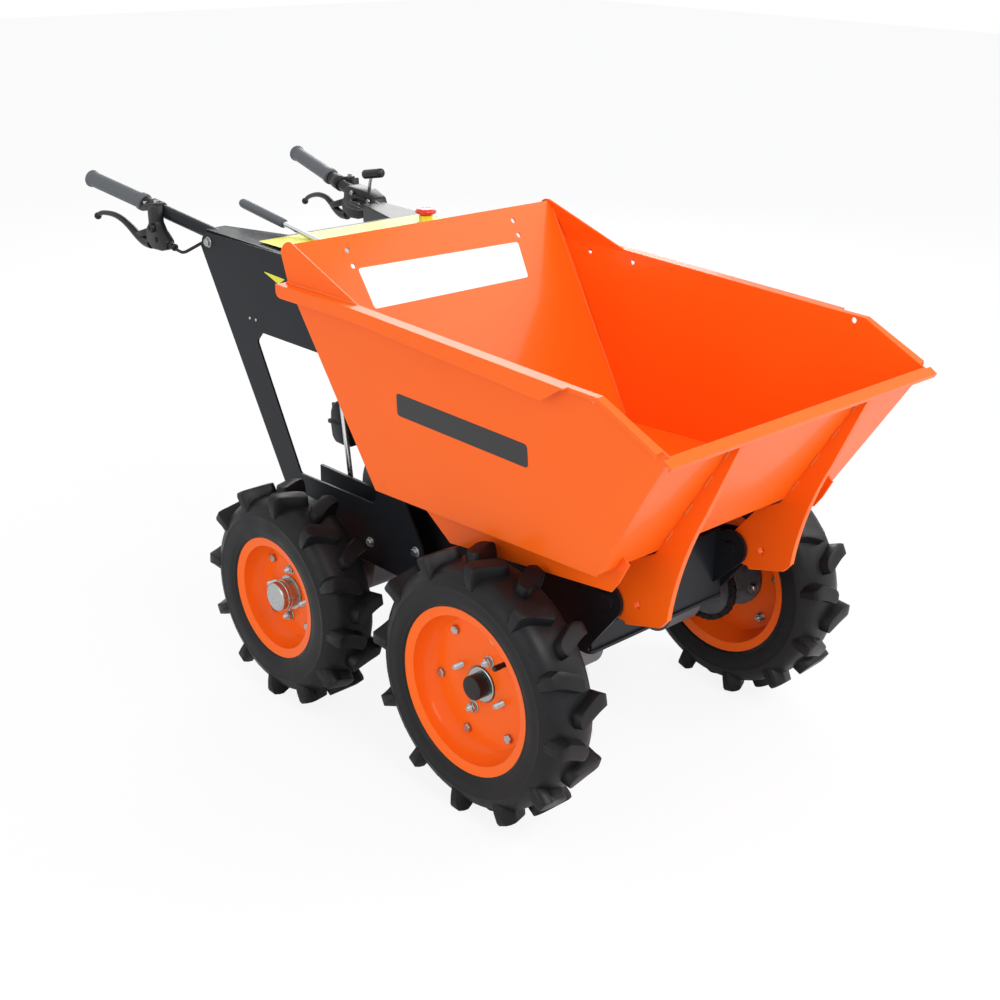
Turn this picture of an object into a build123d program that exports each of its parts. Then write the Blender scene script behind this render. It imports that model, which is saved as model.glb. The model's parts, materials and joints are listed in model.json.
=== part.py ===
from build123d import *
from math import atan2, cos, degrees, pi, radians, sin, sqrt, tan
import os

# Walk-behind four-wheel site dumper with a tipping hopper.
# Millimetres. +X is forward (the end that dumps), +Y the left side, +Z up; z = 0 is the ground.
# Outlines of everything above the axles are (x, height above the bed plate).
os.makedirs("parts", exist_ok=True)

# ---------------------------------------------------------------- driving dimensions
GAP = 0.3  # seating clearance between pieces
RUN = 0.05  # radial clearance of a shaft or pin in its bore

# Wheels: wheelbase, track and the two tyre sizes
FRONT_AXLE_X = 442.0
REAR_AXLE_X = -62.0
WHEEL_Y = 313.5  # wheel's middle plane from the centreline
FRONT_TYRE_R = 220.0
REAR_TYRE_R = 198.6
FRONT_RIM_R = 139.5  # rim flange; the bead seat is BEAD_DEPTH below it
REAR_RIM_R = 111.8
BEAD_DEPTH = 11.0
RIM_HALF_WIDTH = 46.0
LUGS_PER_SIDE = 12
LUG_HEIGHT = 18.0
LUG_ROOT = 16.0  # how far a lug runs down the shoulder, below its foot
TYRE_HALF_WIDTH = 52.0
DISC_U = 2.0  # wheel disc's inner face, outward of the wheel's middle plane
SHAFT_R = 12.5
AXLE_TUBE_R = 19.0
AXLE_DROP = 12.0  # from the floor's underside to the front axle tube
CHAIN_Y = 230.0
SPROCKET_R = 55.5  # inside the chain
CHAIN_T = 10.5

# Chassis: a floor pan between two side plates that end in the hopper's pivot ears
FLOOR_T = 5.0
BED_Z = FRONT_TYRE_R + AXLE_TUBE_R + AXLE_DROP + FLOOR_T  # top of the floor plate
CHASSIS_REAR_X = -170.0
CHASSIS_FRONT_X = 530.0
CHASSIS_H = 118.0
EAR_Y = 164.0
EAR_T = 6.0
INNER_EAR_Y = 142.0
PIVOT_X = 557.0
PIVOT_H = 101.0
PIVOT_R = 10.0
EAR_R = 31.0
PLATE_X = 526.0  # front face of the front plate
PLATE_T = 5.0
PLATE_H = 122.0

# Side panels: console side, rear strut and lower limb cut from one sheet
PANEL_Y = 213.0
PANEL_T = 4.0
CONSOLE_H = 534.0
CONSOLE_SHEET = 3.0
GEAR_X = -225.0
GEAR_Y = -115.0
GEAR_ROD_R = 5.0
STOP_X = -235.0
STOP_Y = 150.0
STOP_H = 529.7

# Hopper: 3 mm sheet, side walls leaning in to the foot, rear and front walls raked
SHEET = 3.0
WALL_TOP_Y = 310.0  # side wall's middle at the rim
WALL_FOOT_Y = 287.0  # and at the floor
APEX_Y = 300.0
RIM_H = 509.0  # top of the rim flange at the rear
WALL_FOOT_H = 196.0
RIM_FLANGE = 20.0
RIM_DROP = 22.0
LIP_FLANGE = 18.6
LIP_DROP = 8.0
BRACKET_Y = 153.0
BRACKET_T = 10.0
SKIRT_Y = 250.0

# Handles and their controls
HANDLE_R = 12.5
GRIP_R = 15.0
GRIP_LENGTH = 165.0
BOLT_BACK = 22.0  # panel bolt, behind the tube's front end
HANDLE_END = (-790.5, 251.0, 572.0)  # left handle, above the bed; the right one mirrors it
HANDLE_ROOT = (-395.0, 189.0, 502.0)
LEVER_Y = 238.0
CABLE_R = 3.0
handle_run = sqrt(sum((a - b) ** 2 for a, b in zip(HANDLE_END, HANDLE_ROOT)))


def save(part, name):
    """Label a finished piece and write it as one STEP file."""
    part.label = name
    export_step(part, f"parts/{name}.step")


def upright(y, height=0.0):
    """Plane whose sketch points are (x, height above the bed), facing the right side."""
    return Plane(origin=(0, y, BED_Z + height), x_dir=(1, 0, 0), z_dir=(0, -1, 0))


def plate(outline, near_y, far_y, holes=()):
    """Upright plate between two y values: outline of (x, height) points, holes as (x, height, radius)."""
    with BuildPart() as made:
        with BuildSketch(upright(near_y)):
            Polygon(*outline, align=None)
            for x, h, radius in holes:
                with Locations((x, h)):
                    Circle(radius, mode=Mode.SUBTRACT)
        extrude(amount=near_y - far_y)
    return made.part


def bar(start, end, radius):
    """Round bar from one point to another."""
    with BuildPart() as made:
        with BuildSketch(Plane(origin=start, z_dir=Vector(*end) - Vector(*start))):
            Circle(radius)
        extrude(amount=(Vector(*end) - Vector(*start)).length)
    return made.part


def handle_line(side):
    """Free end, root and direction of a handle tube."""
    end = Vector(HANDLE_END[0], side * HANDLE_END[1], BED_Z + HANDLE_END[2])
    root = Vector(HANDLE_ROOT[0], side * HANDLE_ROOT[1], BED_Z + HANDLE_ROOT[2])
    return end, root, (root - end).normalized()


# ---------------------------------------------------------------- wheels
BARREL_T = 3.0
DISC_T = 4.0
STEP_DEPTH = 16.0  # the disc's ring step, below the bead seat
HUB_FLANGE_R = 61.0
HUB_FLANGE_T = 8.0
HUB_R = 30.0
HUB_INNER_U = -90.0
SHAFT_END_U = -8.0
SPROCKET_T = 7.0

# Flat top of a lug, (along the tread, outward): blunt end across the crown, narrower foot on the shoulder
LUG_TOP = ((-18, 46), (-22, 31), (-13, 12), (-3, -6), (8, -11), (19, -7), (21, 1), (6, 30), (1, 46))

# name, axle x, tyre radius, rim flange radius, hub cap radius, hub cap face (outward)
WHEEL_SIZES = (
    ("front", FRONT_AXLE_X, FRONT_TYRE_R, FRONT_RIM_R, 19.0, 20.0),
    ("rear", REAR_AXLE_X, REAR_TYRE_R, REAR_RIM_R, 26.0, 42.0),
)


def wheel_section(x, z, side):
    """Plane through a wheel's axis: sketch points are (outward from the wheel's middle, radius)."""
    return Plane(origin=(x, side * WHEEL_Y, z), x_dir=(0, side, 0), z_dir=(side, 0, 0))


def casing_points(flange_r, bead_r, base_r):
    """Section of a tyre without its lugs, as (outward, radius) points that seat on the rim."""
    wide = TYRE_HALF_WIDTH
    half = RIM_HALF_WIDTH
    right = [
        (wide - 8, base_r - 1), (wide, (flange_r + base_r) / 2 + 6), (wide - 3, flange_r + 3),
        (half - BARREL_T - GAP, flange_r + GAP), (half - 5 - GAP, bead_r + GAP),
    ]
    return right + [(-u, r) for u, r in reversed(right)]


for axle, wheel_x, tyre_r, flange_r, cap_r, cap_u in WHEEL_SIZES:
    bead_r = flange_r - BEAD_DEPTH
    base_r = tyre_r - LUG_HEIGHT
    half = RIM_HALF_WIDTH
    step_r = bead_r - STEP_DEPTH
    face_u = DISC_U + DISC_T
    for side_name, side in (("left", 1), ("right", -1)):
        name = f"{axle}_{side_name}"
        section = wheel_section(wheel_x, tyre_r, side)
        spin_axis = Axis((wheel_x, side * WHEEL_Y, tyre_r), (0, 1, 0))

        with BuildPart() as rim:
            # Half section of a split wheel: two flanged pressings with curved barrels round a flat disc
            with BuildSketch(section):
                with BuildLine():
                    bead = Polyline(
                        (half, flange_r), (half - BARREL_T, flange_r), (half - 5, bead_r), (5 - half, bead_r),
                        (BARREL_T - half, flange_r), (-half, flange_r), (4 - half, bead_r - BARREL_T - 2),
                    )
                    bend = ThreePointArc(bead @ 1, (-16, bead_r - 8), (DISC_U, step_r))
                    disc = Polyline(
                        bend @ 1, (DISC_U, HUB_R + GAP), (face_u, HUB_R + GAP), (face_u, step_r - 4),
                        (face_u + 5, step_r),
                    )
                    sweep_out = ThreePointArc(disc @ 1, (24, bead_r - 8), (half - 4, bead_r - BARREL_T - 2))
                    Line(sweep_out @ 1, bead @ 0)
                make_face()
            revolve(axis=spin_axis)
        save(rim.part, f"rim_{name}")

        # Hub: inner barrel, bolting flange behind the disc, cap through the disc; chain wheel on the left
        with BuildPart() as hub:
            with BuildSketch(section):
                Polygon(
                    (HUB_INNER_U, SHAFT_R + RUN), (HUB_INNER_U, HUB_R - 4), (HUB_INNER_U + 4, HUB_R),
                    (DISC_U - HUB_FLANGE_T, HUB_R), (DISC_U - HUB_FLANGE_T, HUB_FLANGE_R),
                    (DISC_U, HUB_FLANGE_R), (DISC_U, HUB_R), (DISC_U + DISC_T + 2, HUB_R),
                    (DISC_U + DISC_T + 2, cap_r), (cap_u - 3, cap_r), (cap_u, cap_r - 3), (cap_u, 0),
                    (SHAFT_END_U + 2, 0), (SHAFT_END_U + 2, SHAFT_R + RUN), align=None,
                )
                if side > 0:
                    with Locations((CHAIN_Y - WHEEL_Y, (SPROCKET_R + HUB_R - 6) / 2)):
                        Rectangle(SPROCKET_T, SPROCKET_R - HUB_R + 6)
            revolve(axis=spin_axis)
        save(hub.part, f"hub_{name}")

        # Tyre: a faceted casing, one facet for each lug, with bars swept forward from the shoulder to the crown
        facets = 2 * LUGS_PER_SIDE
        far_x = max((x for x, u in LUG_TOP), key=abs)
        top_r = sqrt(tyre_r**2 - far_x**2)
        lowest = 180 - degrees(atan2(far_x, top_r))  # turns a lug's outermost corner straight down
        with BuildPart() as tyre:
            # One facet of the casing between two planes through the axle, then all of them
            across = tyre_r * tan(pi / facets)
            with BuildPart(mode=Mode.PRIVATE) as facet:
                with BuildSketch(section):
                    Polygon(*casing_points(flange_r, bead_r, base_r), align=None)
                extrude(amount=across, both=True)
                with BuildSketch(
                    Plane(origin=(wheel_x, side * WHEEL_Y, tyre_r), x_dir=(1, 0, 0), z_dir=(0, -1, 0))
                ):
                    Polygon((0, 0), (across, tyre_r), (-across, tyre_r), align=None)
                extrude(amount=TYRE_HALF_WIDTH, both=True, mode=Mode.INTERSECT)
            add([facet.part.rotate(spin_axis, lowest + turn * 360 / facets) for turn in range(facets)])
            for shoulder, first in ((1, lowest), (-1, lowest + 180 / LUGS_PER_SIDE)):
                with BuildPart(mode=Mode.PRIVATE) as lug:
                    crown = Plane(
                        origin=(wheel_x, side * WHEEL_Y, tyre_r + top_r), x_dir=(1, 0, 0), z_dir=(0, 0, -1)
                    )
                    with BuildSketch(crown):
                        Polygon(*[(x, -side * shoulder * u) for x, u in LUG_TOP], align=None)
                    extrude(amount=LUG_HEIGHT + LUG_ROOT)
                add([
                    lug.part.rotate(spin_axis, first + turn * 360 / LUGS_PER_SIDE)
                    for turn in range(LUGS_PER_SIDE)
                ])
        save(tyre.part, f"tyre_{name}")

# Axles: cross tube and shaft in cast saddles bolted under the floor
SADDLE_R = 42.0
SADDLE_INNER_Y = 85.0
SADDLE_OUTER_Y = 165.0
SADDLE_FOOT = 13.0
tube_end = WHEEL_Y + HUB_INNER_U - 6
shaft_end = WHEEL_Y + SHAFT_END_U
for axle, wheel_x, axle_z in (("front", FRONT_AXLE_X, FRONT_TYRE_R), ("rear", REAR_AXLE_X, REAR_TYRE_R)):
    top = BED_Z - FLOOR_T - axle_z
    with BuildPart() as axle_part:
        add(bar((wheel_x, -tube_end, axle_z), (wheel_x, tube_end, axle_z), AXLE_TUBE_R))
        add(bar((wheel_x, -shaft_end, axle_z), (wheel_x, shaft_end, axle_z), SHAFT_R))
        for near_y in (SADDLE_INNER_Y, -SADDLE_OUTER_Y):
            with BuildSketch(Plane(origin=(wheel_x, near_y, axle_z), x_dir=(1, 0, 0), z_dir=(0, -1, 0))):
                Circle(SADDLE_R)
                foot = SADDLE_R + SADDLE_FOOT
                Polygon((-SADDLE_R, 0), (SADDLE_R, 0), (foot, top), (-foot, top), align=None)
                with Locations((0, top - 2 * foot)):
                    Rectangle(4 * foot, 4 * foot, mode=Mode.INTERSECT)
            extrude(amount=SADDLE_INNER_Y - SADDLE_OUTER_Y)
    save(axle_part.part, f"axle_{axle}")

# Drive chain on the left, one closed loop round the two hubs' chain wheels
CHAIN_WIDTH = 12.0
CHAIN_CLEAR = 0.5
chain_inner = SPROCKET_R + CHAIN_CLEAR
chain_outer = chain_inner + CHAIN_T
wheel_base = sqrt((FRONT_AXLE_X - REAR_AXLE_X) ** 2 + (FRONT_TYRE_R - REAR_TYRE_R) ** 2)
chain_rise = degrees(atan2(FRONT_TYRE_R - REAR_TYRE_R, FRONT_AXLE_X - REAR_AXLE_X))
loop_plane = Plane(
    origin=((FRONT_AXLE_X + REAR_AXLE_X) / 2, CHAIN_Y, (FRONT_TYRE_R + REAR_TYRE_R) / 2),
    x_dir=(cos(radians(chain_rise)), 0, sin(radians(chain_rise))), z_dir=(0, -1, 0),
)
with BuildPart() as chain:
    with BuildSketch(loop_plane):
        SlotCenterToCenter(wheel_base, 2 * chain_outer)
        SlotCenterToCenter(wheel_base, 2 * chain_inner, mode=Mode.SUBTRACT)
    extrude(amount=CHAIN_WIDTH / 2, both=True)
save(chain.part, "drive_chain")

# ---------------------------------------------------------------- chassis
side_outer = EAR_Y + EAR_T / 2
side_inner = EAR_Y - EAR_T / 2
UPSTAND = 30.0
CORNER_R = 12.0
with BuildPart() as floor:
    with BuildSketch(Plane.XY.offset(BED_Z - FLOOR_T)):
        with Locations(((CHASSIS_REAR_X + CHASSIS_FRONT_X) / 2, 0)):
            RectangleRounded(CHASSIS_FRONT_X - CHASSIS_REAR_X, 2 * side_outer, CORNER_R)
    extrude(amount=FLOOR_T)
    # Rear edge folded up between the sides
    with BuildSketch(Plane.XY.offset(BED_Z)):
        with Locations((CHASSIS_REAR_X + FLOOR_T / 2, 0)):
            Rectangle(FLOOR_T, 2 * side_inner - 2 * GAP)
    extrude(amount=UPSTAND)
save(floor.part, "chassis_floor")

PIN_HEAD_R = 15.0
PIN_HEAD_T = 6.0
PIN_END_Y = INNER_EAR_Y - EAR_T / 2 - 5
for side_name, side in (("left", 1), ("right", -1)):
    with BuildPart() as chassis_side:
        with BuildSketch(upright(side * side_inner)):
            Polygon(
                (CHASSIS_REAR_X, 0), (CHASSIS_FRONT_X - CORNER_R, 0), (PIVOT_X + EAR_R * 0.9, PIVOT_H - 14),
                (PIVOT_X, PIVOT_H + EAR_R), (460, CHASSIS_H), (CHASSIS_REAR_X, CHASSIS_H), align=None,
            )
            with Locations((PIVOT_X, PIVOT_H)):
                Circle(EAR_R)
        extrude(amount=-side * EAR_T)
        # Pivot pin, welded in the ear, reaching inward through the hopper's bracket and the inner ear
        pivot_z = BED_Z + PIVOT_H
        head_y = side_outer + PIN_HEAD_T
        add(bar((PIVOT_X, side * side_inner, pivot_z), (PIVOT_X, side * head_y, pivot_z), PIN_HEAD_R))
        add(bar((PIVOT_X, side * head_y, pivot_z), (PIVOT_X, side * PIN_END_Y, pivot_z), PIVOT_R))
    save(chassis_side.part, f"chassis_side_{side_name}")

# Front plate: upright between the two sides, with the inner pivot ears welded to it
PLATE_SEAT = 1.0
with BuildPart() as front_plate:
    plate_half = side_inner - GAP
    add(plate(
        [(PLATE_X - PLATE_T, 0), (PLATE_X, 0), (PLATE_X, PLATE_H), (PLATE_X - PLATE_T, PLATE_H)],
        -plate_half, plate_half,
    ))
    for side in (1, -1):
        inner_ear = side * INNER_EAR_Y
        with BuildSketch(upright(inner_ear)):
            Polygon(
                (PLATE_X - PLATE_SEAT, 25), (PIVOT_X + EAR_R * 0.7, PIVOT_H - EAR_R * 0.7),
                (PIVOT_X, PIVOT_H + EAR_R), (PLATE_X - PLATE_SEAT, PLATE_H), align=None,
            )
            with Locations((PIVOT_X, PIVOT_H)):
                Circle(EAR_R)
                Circle(PIVOT_R + RUN, mode=Mode.SUBTRACT)
        extrude(amount=EAR_T / 2, both=True)
save(front_plate.part, "front_plate")

# Side panels: outline with the see-through window, and spacer angles to the chassis sides
panel_outline = [
    (-454, 503), (-442, 517), (-110, 516), (0, 344), (105, 199), (133, 147), (179, 75), (179, 2),
    (-170, 2), (-220, 88), (-459, 487),
]
window = [(-288, 340), (-271, 359), (-40, 359), (60, 214), (60, 149), (48, 119), (-166, 114)]
WINDOW_R = 8.0
panel_inner = PANEL_Y - PANEL_T / 2
for side_name, side in (("left", 1), ("right", -1)):
    with BuildPart() as panel:
        with BuildSketch(upright(side * PANEL_Y)):
            Polygon(*panel_outline, align=None)
            with BuildLine():
                FilletPolyline(*window, radius=WINDOW_R, close=True)
            make_face(mode=Mode.SUBTRACT)
        extrude(amount=PANEL_T / 2, both=True)
        # Spacer angles: welded to the panel and bolted to the chassis side
        for low in (8, 46):
            with BuildSketch(Plane.XY.offset(BED_Z + low)):
                with Locations((0, side * (side_outer + panel_inner) / 2)):
                    Rectangle(250, panel_inner - side_outer)
            extrude(amount=4)
    save(panel.part, f"side_panel_{side_name}")

# Console: folded sheet between the side panels, with a steep lower rear face, a slope and a flat top
with BuildPart() as console:
    with BuildSketch(upright(0)):
        with BuildLine():
            skin = Polyline((-440, 440), (-466, 484), (-450, 503), (-422, 521), (-372, CONSOLE_H), (-130, 525))
            offset(skin, amount=CONSOLE_SHEET, side=Side.RIGHT)
        make_face()
    extrude(amount=panel_inner, both=True)
    # Gate for the gear lever
    with BuildSketch(Plane.XY.offset(BED_Z + CONSOLE_H)):
        with Locations((GEAR_X - 8, GEAR_Y)):
            SlotOverall(44, 2 * (GEAR_ROD_R + GAP))
    extrude(amount=-40, mode=Mode.SUBTRACT)
    for side in (1, -1):
        end, root, along = handle_line(side)
        add(bar(end, root + along * 20, HANDLE_R + GAP), mode=Mode.SUBTRACT)
save(console.part, "console")

# ---------------------------------------------------------------- handles and controls
GRIP_FLANGE_R = 17.0
GRIP_FLANGE_T = 5.0
for side_name, side in (("left", 1), ("right", -1)):
    end, root, along = handle_line(side)
    with BuildPart() as handle:
        add(bar(end + along * 3, root, HANDLE_R))
        # Bolt and spacer that hold the tube to the side panel
        bolt = root - along * BOLT_BACK
        add(bar(
            (bolt.X, bolt.Y, bolt.Z), (bolt.X, side * (panel_inner - GAP), bolt.Z), 7,
        ))
    save(handle.part, f"handle_{side_name}")
    with BuildPart() as grip:
        add(bar(end, end + along * GRIP_LENGTH, GRIP_R))
        add(bar(end, end + along * GRIP_FLANGE_T, GRIP_FLANGE_R))
        add(bar(end + along * (GRIP_LENGTH - GRIP_FLANGE_T), end + along * GRIP_LENGTH, GRIP_FLANGE_R))
        add(bar(end + along * 3, end + along * (GRIP_LENGTH + 1), HANDLE_R), mode=Mode.SUBTRACT)
    save(grip.part, f"grip_{side_name}")

# Brake levers: cast perch clamped round the handle tube, curved blade under the grip, ball end
BLADE_T = 8.0
BALL_R = 7.0
CLAMP_R = HANDLE_R + 6
CLAMP_START = 198.0
CLAMP_LENGTH = 28.0
ADJUSTER = (-528.0, 477.0)  # cable adjuster's root and end on the perch
ADJUSTER_END = (-511.0, 475.0)
ADJUSTER_R = 5.0
for side_name, side in (("left", 1), ("right", -1)):
    end, root, along = handle_line(side)
    clamp_start = end + along * CLAMP_START
    clamp_end = clamp_start + along * CLAMP_LENGTH
    lever_y = side * LEVER_Y
    with BuildPart() as brake:
        with BuildSketch(upright(lever_y)):
            with BuildLine():
                upper = ThreePointArc((-796, 499), (-742, 514), (-675, 501))
                perch = Polyline(
                    upper @ 1, (-626, 508), (-610, 534), (-560, 527), (-526, 494), (-521, 472), (-548, 467)
                )
                belly = ThreePointArc(perch @ 1, (-603, 464), (-660, 485))
                lower = ThreePointArc(belly @ 1, (-738, 504), (-796, 490))
                Line(lower @ 1, upper @ 0)
            make_face()
            with Locations((-797, 495)):
                Circle(BALL_R)
        extrude(amount=BLADE_T / 2, both=True)
        add(bar(clamp_start, clamp_end, CLAMP_R))
        add(bar(
            (ADJUSTER[0], lever_y, BED_Z + ADJUSTER[1]), (ADJUSTER_END[0], lever_y, BED_Z + ADJUSTER_END[1]),
            ADJUSTER_R,
        ))
        add(bar(clamp_start - along * 20, clamp_end + along * 20, HANDLE_R + GAP), mode=Mode.SUBTRACT)
    save(brake.part, f"brake_lever_{side_name}")

# Throttle: housing clamped on the left handle, with its stem and cylindrical thumb knob
THROTTLE_INNER_Y = 190.0
THROTTLE_OUTER_Y = 229.0
THROTTLE_Y = 212.0
throttle_outline = [(-545, 504), (-545, 534), (-535, 543), (-482, 540), (-470, 530), (-470, 512), (-500, 500)]
with BuildPart() as throttle:
    add(plate(throttle_outline, THROTTLE_INNER_Y, THROTTLE_OUTER_Y))
    add(bar((-490, THROTTLE_Y, BED_Z + 538), (-478, THROTTLE_Y, BED_Z + 574), 4))
    add(bar((-497, THROTTLE_Y, BED_Z + 568), (-443, THROTTLE_Y, BED_Z + 580), 9))
    end, root, along = handle_line(1)
    add(bar(end, root, HANDLE_R + GAP), mode=Mode.SUBTRACT)
save(throttle.part, "throttle")

# Control cables: from the adjusters and the throttle housing to the console's rear face
brake_route = (
    (ADJUSTER_END[0] + 0.4, LEVER_Y, ADJUSTER_END[1]), (-485, LEVER_Y, 472), (-461.4, 204, 494.3),
)
throttle_route = ((-500, THROTTLE_INNER_Y - 0.4, 520), (-500, 168, 520), (-441.4, 168, 511.5))
CABLES = (
    ("brake_cable_left", 1, brake_route, 14.0),
    ("brake_cable_right", -1, brake_route, 14.0),
    ("throttle_cable", 1, throttle_route, 14.0),
)
for name, side, route, bend in CABLES:
    points = [(x, side * y, BED_Z + h) for x, y, h in route]
    with BuildPart() as cable:
        with BuildLine() as run:
            FilletPolyline(*points, radius=bend)
        with BuildSketch(Plane(origin=run.line @ 0, z_dir=run.line % 0)):
            Circle(CABLE_R)
        sweep()
    print(name, "length", round(sum(edge.length for edge in run.edges()), 1), "bend radius", bend)
    save(cable.part, name)

# Gear lever: rod up through the console's gate, bent to the rear, with a long plastic grip
GEAR_GRIP_R = 9.0
GEAR_GRIP_LENGTH = 145.0
gear_route = [(GEAR_X, 504.0), (GEAR_X - 4, 538.0), (GEAR_X - 105, 547.0)]
with BuildPart() as gear_lever:
    with BuildLine(upright(GEAR_Y)) as rod_path:
        FilletPolyline(*gear_route, radius=14)
    with BuildSketch(Plane(origin=rod_path.line @ 0, z_dir=rod_path.line % 0)):
        Circle(GEAR_ROD_R)
    sweep()
    grip_start = Vector(GEAR_X - 97, GEAR_Y, BED_Z + 546.3)
    grip_end = grip_start + Vector(-1, 0, 0.12).normalized() * GEAR_GRIP_LENGTH
    add(bar(grip_start, grip_end, GEAR_GRIP_R))
save(gear_lever.part, "gear_lever")

# Emergency stop: mushroom button on a round base at the console's left; low, thickness, radius
with BuildPart() as stop:
    for low, thick, radius in ((0, 9, 16), (9, 6, 9), (15, 8, 16)):
        stop_low = Vector(STOP_X, STOP_Y, BED_Z + STOP_H + low)
        add(bar(stop_low, stop_low + Vector(0, 0, thick), radius))
save(stop.part, "emergency_stop")

# ---------------------------------------------------------------- engine and drive
HEAD_H = 95.0  # crankcase top
TANK_H = 170.0
SHROUD_R = 84.0
with BuildPart() as engine:
    with BuildSketch(Plane.XY.offset(BED_Z)):
        with Locations((-10, 0)):
            Rectangle(190, 150)
    extrude(amount=HEAD_H)
    with BuildSketch(Plane.XY.offset(BED_Z + HEAD_H)):
        with Locations((-10, 10)):
            Rectangle(120, 130)
    extrude(amount=TANK_H - HEAD_H)
    # Fan shroud and recoil starter on the right
    shroud = Vector(-20, -70, BED_Z + SHROUD_R + 6)
    add(bar(shroud, shroud - Vector(0, 50, 0), SHROUD_R))
    add(bar(shroud - Vector(0, 50, 0), shroud - Vector(0, 66, 0), SHROUD_R * 0.6))
save(engine.part, "engine_block")

with BuildPart() as tank:
    with BuildSketch(Plane.XY.offset(BED_Z + TANK_H + 6)):
        with Locations((-60, 0)):
            RectangleRounded(180, 170, 15)
    extrude(amount=89)
    with BuildSketch(Plane.XY.offset(BED_Z + TANK_H)):
        with Locations((-30, 0)):
            Rectangle(80, 80)
    extrude(amount=6)
    cap = Vector(-100, 0, BED_Z + TANK_H + 95)
    add(bar(cap, cap + Vector(0, 0, 14), 24))
save(tank.part, "fuel_tank")

# Air cleaner: box beside the tank, on its intake neck
with BuildPart() as air_cleaner:
    with BuildSketch(Plane.XY.offset(BED_Z + 154)):
        with Locations((-154, -120)):
            RectangleRounded(72, 40, 6)
    extrude(amount=87)
    add(bar((-127, -100, BED_Z + 205), (-127, -85, BED_Z + 205), 7))
save(air_cleaner.part, "air_cleaner")

# Silencer: can on the engine's left, with its outlet
with BuildPart() as muffler:
    with BuildSketch(Plane.XY.offset(BED_Z + 104)):
        with Locations((-10, 102)):
            RectangleRounded(104, 54, 8)
    extrude(amount=58)
    add(bar((-62, 102, BED_Z + 132), (-84, 102, BED_Z + 132), 11))
save(muffler.part, "muffler")

with BuildPart() as gearbox:
    with BuildSketch(Plane.XY.offset(BED_Z - FLOOR_T)):
        with Locations((160, 0)):
            RectangleRounded(120, 140, 12)
    extrude(amount=-52)
save(gearbox.part, "gearbox")

# Shift rod: from its pivot on the bed up to the gear lever's foot
with BuildPart() as shift_rod:
    with BuildLine() as run:
        FilletPolyline(
            (-84, -150, BED_Z), (-121, -150, BED_Z + 244), (-200, -132, BED_Z + 430),
            (GEAR_X + 3.2, GEAR_Y, BED_Z + 477.2), (GEAR_X + 0.04, GEAR_Y, BED_Z + 503.7), radius=12,
        )
    with BuildSketch(Plane(origin=run.line @ 0, z_dir=run.line % 0)):
        Circle(GEAR_ROD_R)
    sweep()
    with BuildSketch(Plane.XY.offset(BED_Z)):
        with Locations((-84, -150)):
            Rectangle(22, 18)
    extrude(amount=16)
    with BuildSketch(Plane.XY.offset(BED_Z)):
        with Locations((-84, -150)):
            Rectangle(40, 30)
    extrude(amount=-20, mode=Mode.SUBTRACT)
save(shift_rod.part, "shift_rod")

# ---------------------------------------------------------------- hopper
REAR_TOP = Vector(-52, 0, 572)  # rear wall's inner face, heights above the bed
REAR_FOOT = Vector(185, 0, 196)
FRONT_FOOT = Vector(648, 0, 215)  # front wall's outer face
FRONT_UP = Vector(0.5195, 0, 0.8545)
FRONT_LENGTH = 256.9
FRONT_OUT = Vector(0.8545, 0, -0.5195)
RIM_BREAK = (139.0, RIM_H)  # where the rim starts to fall towards the front
RIM_DROP_END = 606.0
RIM_FRONT = (661.0, 490.0)
SIDE_REAR_TOP = (-46.0, RIM_H)
WALL_MEND = 506.0  # height where the side wall's two leans meet
wall_lean = atan2(WALL_TOP_Y - WALL_FOOT_Y, WALL_MEND - WALL_FOOT_H)
apex_lean = atan2(WALL_TOP_Y - APEX_Y, REAR_TOP.Z - WALL_MEND)


def front_wall(up, out=0.0):
    """(x, height) of a point on the front wall, up from its foot and out from its outer face."""
    at = FRONT_FOOT + FRONT_UP * up + FRONT_OUT * out
    return (at.X, at.Z)


def wall_y(h):
    """Half width between the side walls' middle planes at a height."""
    if h > WALL_MEND:
        return WALL_TOP_Y - (h - WALL_MEND) * tan(apex_lean)
    return WALL_TOP_Y + (h - WALL_MEND) * tan(wall_lean)


def between_walls(clearance, mode):
    """Trim the part to the room between the side walls' inner faces, or cut that room out of it."""
    cut = SHEET / 2 / cos(wall_lean) + clearance
    levels = (WALL_FOOT_H - 80, WALL_MEND, REAR_TOP.Z + 20)
    right = [(-(wall_y(h) - cut), BED_Z + h) for h in levels]
    with BuildPart() as room:
        with BuildSketch(Plane.YZ.offset(-200)):
            Polygon(*right, *[(-y, z) for y, z in reversed(right)], align=None)
        extrude(amount=1200)
    add(room.part, mode=mode)


rear_run = (REAR_TOP - REAR_FOOT).normalized()
rear_in = Vector(rear_run.Z, 0, -rear_run.X)  # into the hopper
rear_back = [REAR_TOP - rear_in * SHEET, REAR_FOOT - rear_in * SHEET]
REAR_HOLES = ((-44, 546), (-28, 522))
HOLE_Y = 194.0
HOLE_R = 5.0
with BuildPart() as rear:
    outline = [REAR_FOOT, REAR_TOP, *rear_back]
    add(plate([(p.X, p.Z) for p in outline], -WALL_TOP_Y - 40, WALL_TOP_Y + 40))
    between_walls(GAP, Mode.INTERSECT)
    for x, h in REAR_HOLES:
        for y in (-HOLE_Y, HOLE_Y):
            middle = Vector(x, y, BED_Z + h)
            add(bar(middle - rear_in * 12, middle + rear_in * 12, HOLE_R), mode=Mode.SUBTRACT)
save(rear.part, "hopper_rear")

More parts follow.
